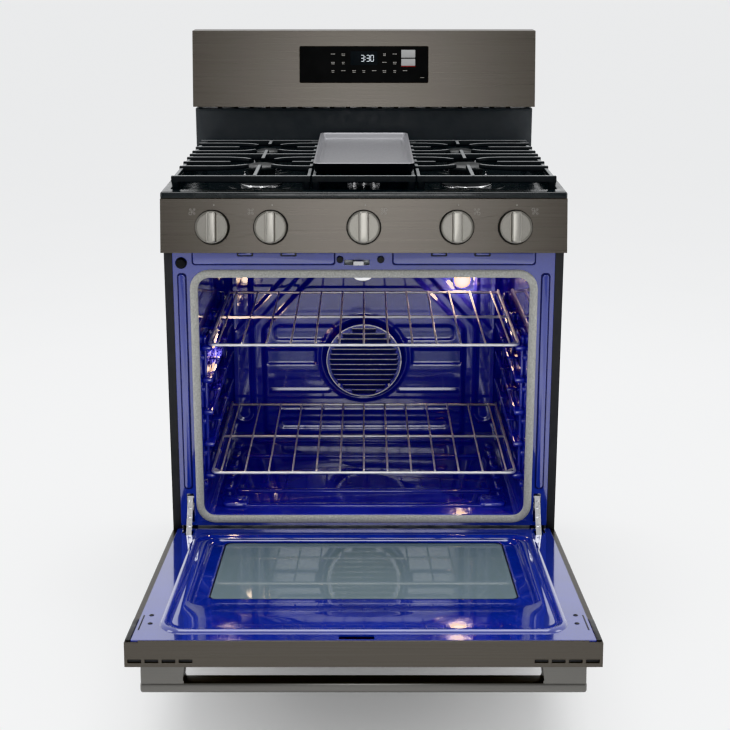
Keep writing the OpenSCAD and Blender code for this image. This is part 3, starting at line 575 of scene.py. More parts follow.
for width, names in {  # edge rounding in mm
        0.3: "rear_panel convection_fan knob_bezels drawer_rails control_board",
        0.4: "side_panel_left side_panel_right base_frame display_glass latch_housing hinge_receivers "
             "drawer_box door_hinge_channels temperature_sensor",
        0.5: "front_frame broil_burner bake_burner",
        0.6: "fan_motor",
        0.7: "fan_cover",
        0.8: "cord_gland door_latch hinge_strut_left hinge_strut_right gas_valves gas_manifold",
        0.9: "backguard_lower door_skin",
        1.3: "backguard_panel",
        1.4: "control_panel drawer_front",
}.items():
    for node in names.split():
        soften(node, width)

frame_back_y = box_mm("front_frame")[1].y
front_y = frame_back_y - 1.6
FRONT = at(0, front_y, 0) @ FACE_OUT  # draws in x and z, with +Z standing out towards the room
panel_bottom_z = panel_low.z


def screw(shape, matrix, radius=4.0, height=2.2):
    """A pan-head screw with a cross in it, standing on a surface."""
    shape.lathe([(radius, 0), (radius, height * 0.35), (radius * 0.8, height * 0.8),
                 (radius * 0.45, height), (radius * 0.42, height * 0.5), (0.05, height * 0.35)],
                matrix, 20)


embossing, slits, edge_shade = Shape(FRONT), Shape(FRONT), Shape(FRONT)
for x0, x1, z0, z1, height, edge, corner in ((56, 323, 773, panel_bottom_z - 4, 2.3, 2.0, 6),
                                             (338.5, 351.5, 322, 753, 2.6, 2.4, 6.4)):
    embossing.slab_pair((x0, z0, -0.4), (x1, z1, height), edge, corner)
    for side in (-1, 1):  # a thin dark line round each pressed field: painted shade along its edge
        edge_shade.ring(lambda inset: rounded_rect((x1 - x0) / 2 - inset, (z1 - z0) / 2 - inset, corner, 5),
                      [(-2.4, -0.3), (-2.4, 0.45), (0.3, 0.45), (0.3, -0.3)],
                      at(side * (x0 + x1) / 2, (z0 + z1) / 2, 0))
embossing.slab_pair((250, 250, -0.4), (322, 256, 1.2), 1.0, 3)
embossing.slab((-250, 249.5, -0.4), (250, 255, 1.4), 1.2, 2.8)
for middle in (-224, -142, 142, 224):
    embossing.slab((middle - 12.5, 790.6, 1.6), (middle + 12.5, 795, 3.4), 0.8, 2)
    # A dark slab under each tab: painted shade in the slit the tab is pressed out of.
    slits.slab((middle - 15.5, 788, 1.6), (middle + 15.5, 795, 2.6), 0.4, 2.6)
make(embossing, "frame_embossing", "blue_enamel")
make(edge_shade, "frame_edge_shade", "blue_enamel", look="outline_enamel")
housing_y = box_mm("latch_housing")[0].y
latch_x, latch_z = joints["latch_pivot"]["pos_m"][0] * METRE, box_mm("door_latch")[0].z + 4
for x in (latch_x - 32, latch_x + 45):
    slits.lathe([(6.6, -2.9), (6.6, 0.6), (5.8, 1.4), (0.1, 1.8)],
                at(x, latch_z + 6, front_y - housing_y), 28)
make(slits, "frame_slit_shade_and_bolts", "dark_trim")

bumper = Shape(FRONT)
bumper.lathe([(11, 0), (11, 1.5), (9.4, 2.2), (9.4, 5.6), (8.2, 7), (0.1, 7.2)], at(-345.5, 775, 0))
make(bumper, "door_bumper", "black_rubber")

tab = Shape(at(-2, frame_back_y + 1.2, box_mm("oven_liner")[1].z - 15) @ FACE_OUT)
arc = [(17 * cos(a), -7.5 * sin(a)) for a in (pi * k / 16 for k in range(17))]
tab.loft([[(x, y, z) for x, y in arc] for z in (0, 1.2)])
make(tab, "broil_heat_tab", "bright_steel")

gasket_low, gasket_high = box_mm("oven_gasket")
gasket_mid_z = (gasket_low.z + gasket_high.z) / 2


def gasket_line(inset):
    return rounded_rect(gasket_high.x - inset, (gasket_high.z - gasket_low.z) / 2 - inset,
                        38 - inset, 8, 24)


rise = gasket_high.y - gasket_low.y
weave = Shape(at(0, front_y, gasket_mid_z) @ FACE_OUT)
weave.ring(gasket_line, [(7.7 - 7.6 * cos(a), rise * sin(a) ** 0.7)
                         for a in (pi * k / 12 for k in range(13))])
make(weave, "oven_gasket_rope", "gasket_weave", "oven_gasket")

# ---- Oven cavity ----

liner_high = box_mm("oven_floor")[1]
cavity_half = liner_high.x
rear_y = liner_high.y
cavity_low = liner_high.z + 1.2
cavity_high = box_mm("oven_rear_wall")[1].z - 1.2
cavity_mid = (cavity_low + cavity_high) / 2
levels = [cavity_low + level for level in (78, 144, 210, 276, 341)]

shell = Shape(at(0, 0, cavity_mid) @ FACE_OUT)
rings = []
for out, y in ((0, frame_back_y), (0, rear_y), (1.2, rear_y), (1.2, frame_back_y)):
    rings.append([(px, pz, -y) for px, pz in
                  rounded_rect(cavity_half + out, (cavity_high - cavity_low) / 2 + out, 24 + out, 6)])
shell.loft(rings, loop=True)
for side in (-1, 1):
    wall = cavity_half * side
    # drawn with x up the wall, y along it and z standing in from it
    upright = at(wall, 0, -cavity_mid, FACE_OUT.inverted()) @ about("Y", -90 * side)
    for level in levels:
        for y0 in (-268, -118, 32):
            a, b = sorted((side * (level - 13.5), side * (level - 3.4)))
            shell.slab((a, y0, -0.6), (b, y0 + 142, 20), 4.2, 5.0, upright)
        for k in range(11):
            shell.lathe([(7, -0.5), (6.6, 1.5), (5.2, 3.2), (3, 4.3), (0.1, 4.8)],
                        at(side * (level - 30), -252 + k * 41, 0, upright), 14)
    for y in (-236, -56, 124):
        a, b = sorted((side * (cavity_low + 60), side * (cavity_low + 352)))
        shell.slab((a, y - 8, -0.6), (b, y + 8, 7), 4, 7.8, upright)
make(shell, "oven_cavity_liner", "cavity_enamel", "oven_liner")

lip = Shape(FRONT)
for k in range(4):
    lip.slab_pair((103 + k * 46, cavity_low - 6.5, -0.3), (137 + k * 46, cavity_low - 4.5, 0.9), 0.8, 0.9)
make(lip, "frame_lower_lip", "blue_enamel")

base = Shape()
base.slab((-cavity_half + 14, frame_back_y, cavity_low - 1.8),
          (cavity_half - 14, rear_y, cavity_low + 0.8), 0.8)
for y, half in ((-250, 250), (-170, 262), (40, 262), (140, 250)):
    base.slab((-half, y - 9, cavity_low), (half, y + 9, cavity_low + 4.5), 3.4, 8.8)
for k in range(6):
    y = -200 + k * 62
    base.slab_pair((272, y - 22, cavity_low), (290, y + 22, cavity_low + 3.2), 2.4, 8.6)
base.slab_pair((232, -262, cavity_low), (284, -214, cavity_low + 10), 6, 12)
make(base, "oven_floor_pan", "cavity_enamel", "oven_floor")


def step(value):
    value = min(max(value, 0), 1)
    return value * value * (3 - 2 * value)


def patch(x, z, x0, x1, z0, z1, corner, slope=5.0):
    """1 inside a rounded rectangle and 0 outside it, with a sloped edge."""
    dx = abs(x - (x0 + x1) / 2) - (x1 - x0) / 2 + corner
    dz = abs(z - (z0 + z1) / 2) - (z1 - z0) / 2 + corner
    distance = hypot(max(dx, 0), max(dz, 0)) + min(max(dx, dz), 0) - corner
    return step(-distance / slope)


fan_low, fan_high = box_mm("fan_cover")
fan_z = (fan_low.z + fan_high.z) / 2
fan_r = (fan_high.z - fan_low.z) / 2


def rear_relief(x, z):
    """How far the rear wall stands in from flat, in mm."""
    ax = abs(x)
    cut = (ax - 118) * 0.737 + (z - 640) * 0.676  # past the sloping shoulder of the arch
    arch = patch(x, z, -232, 232, 258, 655, 20, 9) * step(-cut / 9)
    high = 7.0 * arch
    shoulder = step((cut - 16) / 5) * step((44 - cut) / 5) * step((300 - ax) / 8) * step((z - 452) / 30)
    high += 5.0 * shoulder * (1 - arch)
    high -= 4.0 * patch(ax, z, 62, 206, 487, 524, 14, 5)
    high -= 4.5 * patch(ax, z, 107, 223, 430, 468, 3, 4)
    high += 3.0 * patch(ax, z, 76, 216, 365, 373, 4, 3)
    high += 3.5 * patch(x, z, -200, 200, 315, 324, 4.5, 3.5)
    high -= 4.0 * patch(x, z, -196, 196, 277, 302, 12, 4)
    ring = hypot(x, z - fan_z) - fan_r
    high = high * step((ring + 2) / 12) + 3.5 * step((9 - abs(ring - 9)) / 6)
    high += 6.0 * patch(ax, z, 248, 302, 285, 720, 24, 7) - 4.0 * patch(ax, z, 256, 294, 296, 712, 18, 4)
    return max(high, 0.0)


def spread(start, end, pitch):
    count = max(int(round((end - start) / pitch)), 1)
    return [start + (end - start) * k / count for k in range(count + 1)]


relief = Shape(at(0, rear_y, 0) @ FACE_OUT)
relief.grid(spread(-cavity_half, cavity_half, 3.2), spread(cavity_low, cavity_high, 3.2), rear_relief, -1.2)
make(relief, "oven_rear_relief", "cavity_enamel", "oven_rear_wall", angle=50)

louvres = Shape(at(0, fan_low.y, fan_z) @ FACE_OUT)
# The dark slabs behind the louvres are painted shade in the fan cover's openings.
opening_shade = Shape(at(0, fan_low.y, fan_z) @ FACE_OUT)
for k in range(-6, 7):
    run = sqrt((fan_r - 9) ** 2 - (k * 12) ** 2)
    opening_shade.slab((-run + 1, k * 12 - 6.4, -0.2), (run - 1, k * 12 + 2.2, 0.3), 0.2, 2)
    louvres.tube([(-run, k * 12 + 3.4, 0.2), (-run + 6, k * 12 + 3.4, 1.6), (run - 6, k * 12 + 3.4, 1.6),
                  (run, k * 12 + 3.4, 0.2)], 1.0, 6)
louvres.tube([(fan_r * 0.975 * cos(a), fan_r * 0.975 * sin(a), -0.3)
              for a in (2 * pi * k / 72 for k in range(73))], 1.8, 6)
for a in (45, 135, 225, 315):
    turned = about("Z", a)
    screw(louvres, at(*(turned @ Vector((fan_r - 6, 0, 0)))), 3.4)
make(opening_shade, "fan_cover_opening_shade", "cavity_enamel", look="outline_enamel")
make(louvres, "fan_cover_louvres", "bright_steel", look="rack_steel")

lamps = Shape()
collars = Shape()
for spot in (at(back_lamp[0], rear_y, back_lamp[1]) @ FACE_OUT,
             at(-cavity_half, *side_lamp) @ about("Y", 90)):
    deep = 8 if spot.translation.x < 0 else 14
    lamps.lathe([(17, 0.5), (17, deep * 0.45), (14.5, deep * 0.75), (9, deep * 0.93), (0.1, deep)],
                spot, 40, lambda a, r: r * (1 + 0.02 * cos(12 * a)))
    collars.lathe([(23.5, -0.4), (23.5, 1.2), (21.5, deep * 0.4), (18.6, deep * 0.4), (18, 0.2), (18, -0.4)],
                  spot, 48)
make(lamps, "oven_lamp_lenses", "lamp_lens", "oven_lamps")
make(collars, "oven_lamp_collars", "cavity_enamel")

# ---- Racks ----


def rack(node, name):
    low, high = box_mm(node)
    z = low.z + 3
    half, front, back, mid = high.x - 3, low.y + 3, high.y, -52
    shape = Shape()
    frame_path = [(half, back, z), (half, front, z), (-half, front, z), (-half, back, z)]
    shape.tube(smooth_line(frame_path, 14), 3, 10)
    for y in (mid, back - 12):
        shape.tube([(-half + 1.5, y, z), (half - 1.5, y, z)], 2.9, 10)
    for k in range(13):
        x = -half + 18 + k * (2 * half - 36) / 12
        path = [(x, front + 0.4, z + 1.6), (x, front + 7, z + 3.4), (x, back - 20, z + 3.4),
                (x, back - 12.4, z + 1.6)]
        shape.tube(smooth_line(path, 6, 3), 2.0, 8)
    for side in (-1, 1):
        drop = ((back - 30, z), (back - 22, z + 0.2), (back - 2, z + 3))
        shape.tube(smooth_line([(side * half, *spot) for spot in drop], 6, 3), 2.6, 8)
        shape.tube(smooth_line([(side * (half - 14), front, z), (side * (half - 14), front + 9, z),
                                (side * (half - 3), front + 22, z)], 8, 4), 2.4, 8)
    make(shape, name, "bright_steel", node, look="rack_steel")


rack("rack_upper", "upper_rack_wires")
rack("rack_lower", "lower_rack_wires")

# ---- Cooktop pan ----

pan_low, pan_high = box_mm("cooktop_pan")
deck_z = pan_high.z
pan_z = deck_z - 24
pocket = (362.0, -288.0, 268.0)  # half width, front and back of the sunk area
hump_x, hump_half, hump_depth = 196, 88, 20


def pan_ring(half_x, front, back, z, corner, hump=0.0):
    """A ring of the pan; the two humps push its front edge back."""
    mid, half_y = (front + back) / 2, (back - front) / 2
    ring = []
    for x, y in rounded_rect(half_x, half_y, corner, 6, 60):
        off = abs(abs(x) - hump_x)
        if hump and y < 0 and off < hump_half:
            y += hump * cos(pi / 2 * off / hump_half) ** 2
        ring.append((x, mid + y, z))
    return ring


def pocket_ring(grow, z, hump=0.0):
    return pan_ring(pocket[0] + grow, pocket[1] - grow, pocket[2] + grow, z, 12 + max(grow, -4), hump)


def edge_ring(inset, z):
    return pan_ring(pan_high.x - inset, pan_low.y + inset, pan_high.y - inset, z, max(5 - inset, 0.6))


pan = Shape()
pan.loft([pocket_ring(1.5, pan_z - 1.5), pocket_ring(1.5, deck_z - 12)] +
         stack(edge_ring, deck_z, ((1.5, -11.6), (0, -11.2), (0, -3.6), (0.5, -1.8), (1.6, -0.5), (3.4, 0))) +
         [pocket_ring(grow, deck_z + z, hump_depth * share) for grow, z, share in
          ((3.0, 0, 1), (1.2, -0.6, 1), (0.2, -2.6, 0.98), (-0.4, -8, 0.8))] +
         [pocket_ring(-0.8, pan_z + 8, hump_depth * 0.4)] +
         stack(pocket_ring, pan_z, ((-1.4, 1.6), (-3.0, 0.3), (-5.0, 0))))
pan.slab_pair((pan_high.x - 1.5, front_y + 1, pan_low.z), (pan_high.x, pan_high.y, deck_z - 10), 0.7)
pan.slab((-pan_high.x + 1, pan_high.y - 1.5, pan_low.z), (pan_high.x - 1, pan_high.y, deck_z - 10), 0.7)


def hoop(shape, x, y, z, radius, section, steps=56):
    """Sweeps a section of (inset, height) points round a circle."""
    shape.ring(lambda inset: circle(radius - inset, steps), section, at(x, y, z))


burner_x, burner_front, burner_back = 205, -95, 120
burner_places = [  # x, y, base, head and cap radius
    (-burner_x, burner_front, 42, 27, 30), (burner_x, burner_front, 51.5, 33, 36),
    (-burner_x, burner_back, 36, 23, 26), (burner_x, burner_back, 42, 27, 30)]
for x, y, base_r, head_r, cap_r in burner_places:
    hoop(pan, x, y, pan_z, base_r + 26, [(0, -0.4), (1.5, 1.0), (5, 1.7), (8.5, 1.0), (10, -0.4)])
make(pan, "cooktop_deck", "black_enamel", "cooktop_pan")

dots = Shape()
for side in (-1, 1):
    screw(dots, at(side * hump_x, -290, deck_z), 5, 2)
make(dots, "deck_screws", "dark_trim")

# ---- Burners ----

heads, trims, caps, pins = Shape(), Shape(), Shape(), Shape()
seat_z = pan_z + 0.2
cap_low = box_mm("burner_caps")[0].z
cap_z = cap_low + 2
ports = 24
port_low = cap_z - seat_z - 8


def cut_ports(a, r):
    return r - 2.2 if int(a * ports * 2 / pi / 2 + 1e-6) % 2 else r


for x, y, base_r, head_r, cap_r in burner_places:
    seat, top = at(x, y, seat_z), at(x, y, cap_z)
    heads.lathe([(base_r - 3, 0), (base_r - 3, 4), (base_r - 8, 7.4), (head_r + 6, 8.4), (head_r + 1, 11),
                 (head_r, 13), (head_r, port_low)], seat, 64)
    heads.lathe([(head_r, -8.2), (head_r + 0.8, -7.4), (head_r + 0.8, -1.2), (head_r, -0.1)], top,
                ports * 4, cut_ports)
    hoop(trims, x, y, seat_z, base_r, [(0, 0), (0.1, 4.4), (0.6, 5.2), (1.3, 5.2), (1.8, 4.4), (1.8, 0)])
    caps.lathe([(cap_r - 5, 0), (cap_r - 0.8, 0.1), (cap_r, 1.2), (cap_r, 5.6), (cap_r - 0.9, 7.2),
                (cap_r - 2.6, 8.4), (cap_r - 5, 9), (cap_r - 7, 9.1), (cap_r - 8, 9.9), (0.1, 10)], top, 64)
    side = 1 if x > 0 else -1
    pins.lathe([(3.2, 7), (3.2, 12), (2.6, 13), (2.6, 21), (1.2, 22), (1.1, 26), (0.1, 27)],
               at(x + side * (head_r + 7), y + 9, seat_z), 16)


def oval(grow, z):
    return [(x, 15 + y, z) for x, y in rounded_rect(36 + grow, 92 + grow, 36 + grow - 0.2, 10, 8)]


heads.loft(stack(oval, seat_z, ((-3, 0), (-3, 5), (-6, 8), (-11, 9), (-12, 12))) +
           [oval(-12, cap_low - 0.2)])
heads.loft(stack(oval, cap_low, ((-10, -6.5), (-9.4, -6), (-9.4, -1), (-10, -0.3))))
caps.loft(stack(oval, cap_low, ((-9, 0), (-6.4, 0.2), (-6, 1.4), (-6, 5), (-7, 6.8), (-9.6, 7.7), (-14, 8))))
trims.loft(stack(oval, seat_z, ((0, 0), (-0.1, 5), (-0.6, 6), (-1.3, 6), (-1.8, 5), (-1.8, 0))), loop=True)
make(heads, "burner_heads", "burner_alloy", "burner_bases", look="head_alloy")
make(trims, "burner_trim_rings", "bright_steel")
make(caps, "burner_cap_set", "black_enamel", "burner_caps", look="cap_coat")
make(pins, "igniter_pins", "burner_alloy")

# ---- Grates ----

grate_z = box_mm("grate_centre")[1].z


def bar(shape, points, width=8.4, depths=(13, 13), top=None, round_at=18):
    """A cast bar with a crowned top along a plan path. Its depth runs from the first value to the second."""
    top = grate_z if top is None else top
    path = smooth_line([(x, y, 0) for x, y in points], round_at, 6) if len(points) > 2 else \
        [Vector((x, y, 0)) for x, y in points]
    if len(path) == 2:
        path = [path[0].lerp(path[1], k / 6) for k in range(7)]
    lengths = [0.0]
    for a, b in zip(path, path[1:]):
        lengths.append(lengths[-1] + (b - a).length)
    rings = []
    for k, p in enumerate(path):
        ahead = path[min(k + 1, len(path) - 1)] - path[max(k - 1, 0)]
        across = Vector((-ahead.y, ahead.x, 0)).normalized()
        t = lengths[k] / lengths[-1]
        low = top - (depths[0] + (depths[1] - depths[0]) * t)
        w = width / 2
        section = [(-w * 0.72, low), (-w, low + 1.6), (-w * 0.94, top - 1.5), (-w * 0.8, top - 0.4),
                   (-w * 0.6, top), (w * 0.6, top), (w * 0.8, top - 0.4), (w * 0.94, top - 1.5),
                   (w, low + 1.6), (w * 0.72, low)]
        ring = [p + across * s + Vector((0, 0, z)) for s, z in section]
        if k in (0, len(path) - 1):
            middle = sum(ring, Vector()) / len(ring)
            out = ahead.normalized() * (-0.9 if k == 0 else 0.9)
            small = [middle + (q - middle) * 0.78 + out for q in ring]
            rings += [small, ring] if k == 0 else [ring, small]
        else:
            rings.append(ring)
    shape.loft(rings)


def legs(shape, x0, x1, y0, y1):
    for x in (x0, x1):
        for y in (y0, y1):
            shape.loft([[(x + px, y + py, z) for px, py in rounded_rect(half, half, half * 0.7, 4)]
                        for half, z in ((5.0, pan_z + 0.3), (6.2, pan_z + 1.4), (6.6, grate_z - 24),
                                        (7.6, grate_z - 15), (8.0, grate_z - 12), (7.6, grate_z - 3))])


def side_grate(node, name):
    low, high = box_mm(node)
    side = 1 if low.x > 0 else -1
    x0, x1 = sorted((abs(low.x), abs(high.x)))
    front, back, mid = low.y, high.y, 12.5
    shape = Shape()

    def line(points, **more):
        bar(shape, [(side * x, y) for x, y in points], **more)

    for x in (x0 + 4.5, x1 - 4.5):
        line([(x, front + 1), (x, back - 1)], depths=(8, 8), top=grate_z - 4.6, width=8.4)
    for y in (front + 4.5, mid, back - 4.5):
        line([(x0 + 0.9, y), (x1 - 0.9, y)], width=9)
    for centre in (burner_front, burner_back):
        near, far = (front, mid) if centre < 0 else (mid, back)
        for hand in (-1, 1):
            wall = x0 + 0.9 if hand < 0 else x1 - 0.9
            line([(wall, centre), (burner_x + hand * 62, centre)], depths=(12, 7.5))
            for dy in (-1, 1):
                line([(wall, centre + dy * 61), (burner_x + hand * 70, centre + dy * 61),
                      (burner_x + hand * 40, centre + dy * 53), (burner_x + hand * 25, centre + dy * 38)],
                     depths=(12, 7.2), round_at=22)
        line([(burner_x, near + 3), (burner_x, centre - 47)], depths=(13, 7.5), width=9)
        line([(burner_x, far - 3), (burner_x, centre + 47)], depths=(13, 7.5), width=9)
    legs(shape, side * (x0 + 8), side * (x1 - 8), front + 8, back - 8)
    make(shape, name, "cast_iron", node)


side_grate("grate_left", "left_grate_casting")
side_grate("grate_right", "right_grate_casting")

low, high = box_mm("grate_centre")
shape = Shape()
for x in (low.x + 4.5, high.x - 4.5):
    bar(shape, [(x, low.y + 1), (x, high.y - 1)], depths=(8, 8), top=grate_z - 4.6, width=8.4)
for y in (low.y + 4.5, -165.5, 194.5, high.y - 4.5):
    bar(shape, [(low.x + 0.9, y), (high.x - 0.9, y)], width=9)
for y in (-50, 15, 80):
    for x in (low.x, high.x):
        bar(shape, [(x * 0.99, y), (x * 0.48, y)], depths=(12, 7.2))
legs(shape, low.x + 8, high.x - 8, low.y + 8, high.y - 8)
make(shape, "centre_grate_casting", "cast_iron", "grate_centre")

# ---- Griddle ----

low, high = box_mm("griddle")
mid_y, half_y = (low.y + high.y) / 2, (high.y - low.y) / 2


def griddle_ring(inset, z):
    return [(x, mid_y + y, z) for x, y in
            rounded_rect(high.x - inset, half_y - inset, max(11 - inset * 0.55, 3.0), 5, 6)]


plate = Shape()
plate.loft(stack(griddle_ring, low.z, ((5, 0), (3.4, 0.6), (2.2, 3))) +
           stack(griddle_ring, high.z, ((0.6, -4), (0, -2.6), (0, -0.9), (0.8, 0), (3.2, 0), (4.2, -0.9),
                                        (5.6, -5))) +
           stack(griddle_ring, low.z, ((7.4, 7.2), (8.6, 5.4), (10, 5.0), (13.5, 5.0), (14.6, 5.5),
                                       (15.6, 5.9), (17.5, 6.0))))
for y in (mid_y - 180, mid_y + 180):
    plate.slab_pair((48, y - 6, low.z), (72, y + 6, low.z + 2), 0.8, 5)
make(plate, "griddle_plate_cast", "griddle_iron", "griddle")

# ---- Control panel, knobs and their marks ----

PANEL_FACE = PANEL @ FACE_OUT
knob_s = 48
marks, spots = Shape(PANEL_FACE), Shape(PANEL_FACE)
for index in range(1, 6):
    turn = joints[f"knob_{index}_turn"]
    knob_x = turn["pos_m"][0] * METRE
    side = -1 if index < 3 else 1
    icon_x, icon_s = knob_x + side * 37, knob_s + 29
    for k, (dx, dy) in enumerate(((-3.6, 3.6), (3.6, 3.6), (-3.6, -3.6), (3.6, -3.6), (0, 0))):
        radius = 3.0 if k == (index * 2) % 5 else 1.9
        hoop(marks, icon_x + dx, icon_s + dy, 0, radius,
             [(0, -0.1), (0, 0.12), (0.75, 0.12), (0.75, -0.1)], 20)
    spots.lathe([(1.5, -0.1), (1.5, 0.14), (0.05, 0.15)], at(knob_x + 3, knob_s + 41, 0), 20)

    turned = at(knob_x, knob_s, 0, PANEL_FACE)
    start, disc, reach = 4.4, 30.4, 32.4
    knob = Shape(turned)
    knob.lathe([(28.2, 0), (29.8, 0.5), (disc, 1.8), (disc, 9.6), (29.8, 11.2), (28.4, 11.9), (27.0, 12.0),
                (26.6, 11.6), (0.1, 11.6)], at(0, 0, start), 72)
    make(knob, f"knob_{index}_turned", "knob_metal", f"knob_{index}", look="disc_metal")
    grip = []
    for z, inset in ((start + 11.0, 0.0), (start + 12.6, 0.0), (start + 20, 0.35), (reach - 2.4, 0.8),
                     (reach - 1.0, 1.4), (reach - 0.2, 2.6), (reach, 3.8)):
        ring = []
        for x, y in rounded_rect(9.5 - inset, 27.4 - inset * 0.6, 3.2, 4, 10):
            bulge = sqrt(max(27.6 ** 2 - x * x, 1)) - 26.0
            ring.append((x, y + (bulge * 0.9 if y > 24 else -bulge * 0.9 if y < -24 else 0), z))
        grip.append([(x, max(min(y, 27.4), -27.4), z) for x, y, z in ring])
    make(Shape(turned).loft(grip), f"knob_{index}_grip", "knob_metal", body=body_of[f"knob_{index}"])
make(marks, "burner_icons", "dark_trim", look="icon_print")
make(spots, "panel_dots", "dark_trim", look="icon_print")

# ---- Backguard display ----

glass_s = 92.5
GLASS = at(0, -1.8, glass_s, GUARD) @ FACE_OUT
SEGMENTS = {"0": "abcdef", "3": "abgcd"}


def digit(shape, char, x, y, width, height):
    """One seven-segment figure, with its lower left corner at x, y."""
    half, thick = height / 2, 0.95
    flat = {"a": height, "g": half, "d": 0}
    upright = {"b": (width, half), "c": (width, 0), "f": (0, half), "e": (0, 0)}
    for name in SEGMENTS[char]:
        if name in flat:
            cy = y + flat[name]
            shape.slab((x + 0.5, cy - thick / 2, 0), (x + width - 0.5, cy + thick / 2, 0.2), 0.08)
        else:
            cx, cy = x + upright[name][0], y + upright[name][1]
            shape.slab((cx - thick / 2, cy + 0.5, 0), (cx + thick / 2, cy + half - 0.5, 0.2), 0.08)


window = Shape(GLASS)
window.slab((-29.5, -1.5, -0.2), (29.5, 29, 0.05), 0.04, 1.5)
make(window, "clock_window", "display_black", look="clock_window")
clock = Shape(GLASS)
for char, x in (("3", -6.4), ("3", 5.6), ("0", 14.8)):
    digit(clock, char, x, 7, 6.4, 13.2)
for y in (11, 16.5):
    clock.lathe([(0.8, 0), (0.8, 0.2), (0.05, 0.21)], at(2.6, y, 0), 12)
make(clock, "clock_digits", "display_black", look="clock_light")

prints = Shape(GLASS)
spots_mm = [(x, y) for y in (22.9, 4.8) for x in (-68.3, -45.6, 45.1, 67.8)]
spots_mm += [(x, -13.4) for x in (-68.3, -45.6, -21.8, -0.2, 22.5, 45.1, 67.8, 90.5)]
for k, (x, y) in enumerate(spots_mm):
    for row in range(2 if k % 3 else 1):
        half = 4.6 - (k * 7 % 3) * 0.8 - row * 0.6
        row_y = y - row * 3.4
        for part in (-1, 1):
            a = x + part * (half / 2 + 0.25)
            prints.slab((a - half / 2, row_y - 0.7, -0.1), (a + half / 2, row_y + 0.7, 0.08), 0.06, 0.5)
prints.slab((124, -29, -0.1), (133, -28, 0.08), 0.06)
make(prints, "display_marks", "display_black", look="legend_print")
buttons = Shape(GLASS)
buttons.slab((82.2, 15, -0.1), (113, 32, 0.12), 0.1, 0.8)
buttons.slab((82.2, -2.6, -0.1), (113, 12.4, 0.12), 0.1, 0.8)
make(buttons, "start_stop_keys", "display_black", look="button_print")
line = Shape(GLASS)
line.slab((82.2, -4.2, -0.1), (113, -3.2, 0.1), 0.08)
make(line, "stop_key_line", "display_black", look="stop_print")

lower = Shape(at(0, box_mm("backguard_lower")[0].y, 0) @ FACE_OUT)
top_z = box_mm("backguard_lower")[1].z - 8
lower.slab((-guard_high.x + 3, top_z - 5, -0.6), (guard_high.x - 3, top_z - 1.2, 1.6), 1.4)
make(lower, "backguard_bead", "guard_paint")
# The vent tabs take the near-black trim colour: painted shade of the vent gap they stand in.
vents = Shape()
for k in range(-9, 10):
    vents.slab((k * 36 - 5, 290, top_z - 0.3), (k * 36 + 5, 296, top_z + 2.6), 0.8)
make(vents, "vent_gap_shade_tabs", "dark_trim")

# ---- Door ----

# drawn with x across, y up the door and z through it towards the oven
ON_DOOR = DOOR @ Matrix(((1, 0, 0, 0), (0, 0, 1, 0), (0, 1, 0, 0), (0, 0, 0, 1)))
door_face, door_top = -28.0, 566.0
sheet_u, bead_u = 272.5, 281.5  # heights of the middle of the liner and of its bead ring
window_u, window_x, window_half = 207, 267, 155
recess_u, recess_x, recess_half = 227, 294, 181


def door_ring(half_x, half_u, mid_u, v, corner):
    return [(x, mid_u + u, v) for x, u in rounded_rect(half_x, half_u, corner, 8, 24)]


def recess_ring(grow, v):
    return door_ring(recess_x + grow, recess_half + grow, recess_u, v, 30 + grow)


def window_ring(grow, v):
    return door_ring(window_x + grow, window_half + grow, window_u, v, 14 + grow)


liner_rings = [door_ring(*values) for values in (
    (368, 290.5, sheet_u, 13.4, 3), (368, 290.5, sheet_u, 15.2, 3), (367.2, 289.7, sheet_u, 16, 2.4),
    (331.5, 252.5, bead_u, 16, 42), (330.4, 251.4, bead_u, 17.6, 41), (328, 249, bead_u, 19.8, 39),
    (325, 246, bead_u, 20.8, 37), (322, 243, bead_u, 20.4, 35), (319, 240, bead_u, 18.8, 33),
    (317, 237.5, bead_u, 16.8, 31), (314, 235, bead_u, 16.0, 30), (311, 231, 278, 16.2, 30),
    (306, 212, 258, 17.0, 30))]
liner_rings += stack(recess_ring, 0, ((5, 16.4), (2.6, 15.8), (0.6, 14.2), (-1.4, 11.8), (-3.4, 10.4),
                                      (-6, 10.0)))
liner_rings += stack(window_ring, 0, ((4, 10.0), (1, 9.9), (0, 9.4), (0.2, 8.9)))
liner_rings += stack(recess_ring, 0, ((-4, 8.9), (-0.6, 9.4), (1.4, 12.4)))
liner_rings.append(door_ring(364, 286.5, sheet_u, 13.4, 2))
liner = Shape(ON_DOOR)
liner.loft(liner_rings, loop=True)

slots = Shape(ON_DOOR)
latch_u = latch_z - hinge.z
for x, half, low_u, high_u in ((342, 8, -12, 26), (353.5, 2.9, -30, 13)):
    slots.slab_pair((x - half, low_u, 6), (x + half, high_u, 30), 0.05, 1.2)
slots.slab((latch_x - 26, latch_u - 8, 6), (latch_x + 30, latch_u + 8, 30), 0.05, 1.2)
make(liner, "door_liner_pressing", "blue_enamel", "door_liner", cuts=slots)

details = Shape(ON_DOOR)
for side in (-1, 1):
    for x, u in ((350, 455), (347, 492)):
        details.lathe([(4.2, 15.7), (4.2, 16.3), (3.4, 16.9), (1.7, 17.1), (1.5, 16.4), (0.05, 16.3)],
                      at(side * x, u, 0), 20)
details.slab_pair((360.8, 455, 15.8), (363.2, 520, 16.5), 0.5)
make(details, "door_liner_screws", "dark_trim", body="door")
corners = Shape(ON_DOOR)
corners.slab_pair((367.5, 470, 11.6), (377.4, door_top - 5, 16.0), 1.6, 3)
make(corners, "door_corner_caps", "dark_trim", body="door")

backing = Shape(ON_DOOR)
backing.slab_pair((266, door_top - 5, -23), (374, door_top - 2.2, -13), 0.6)
make(backing, "slot_backing", "dark_trim", body="door")

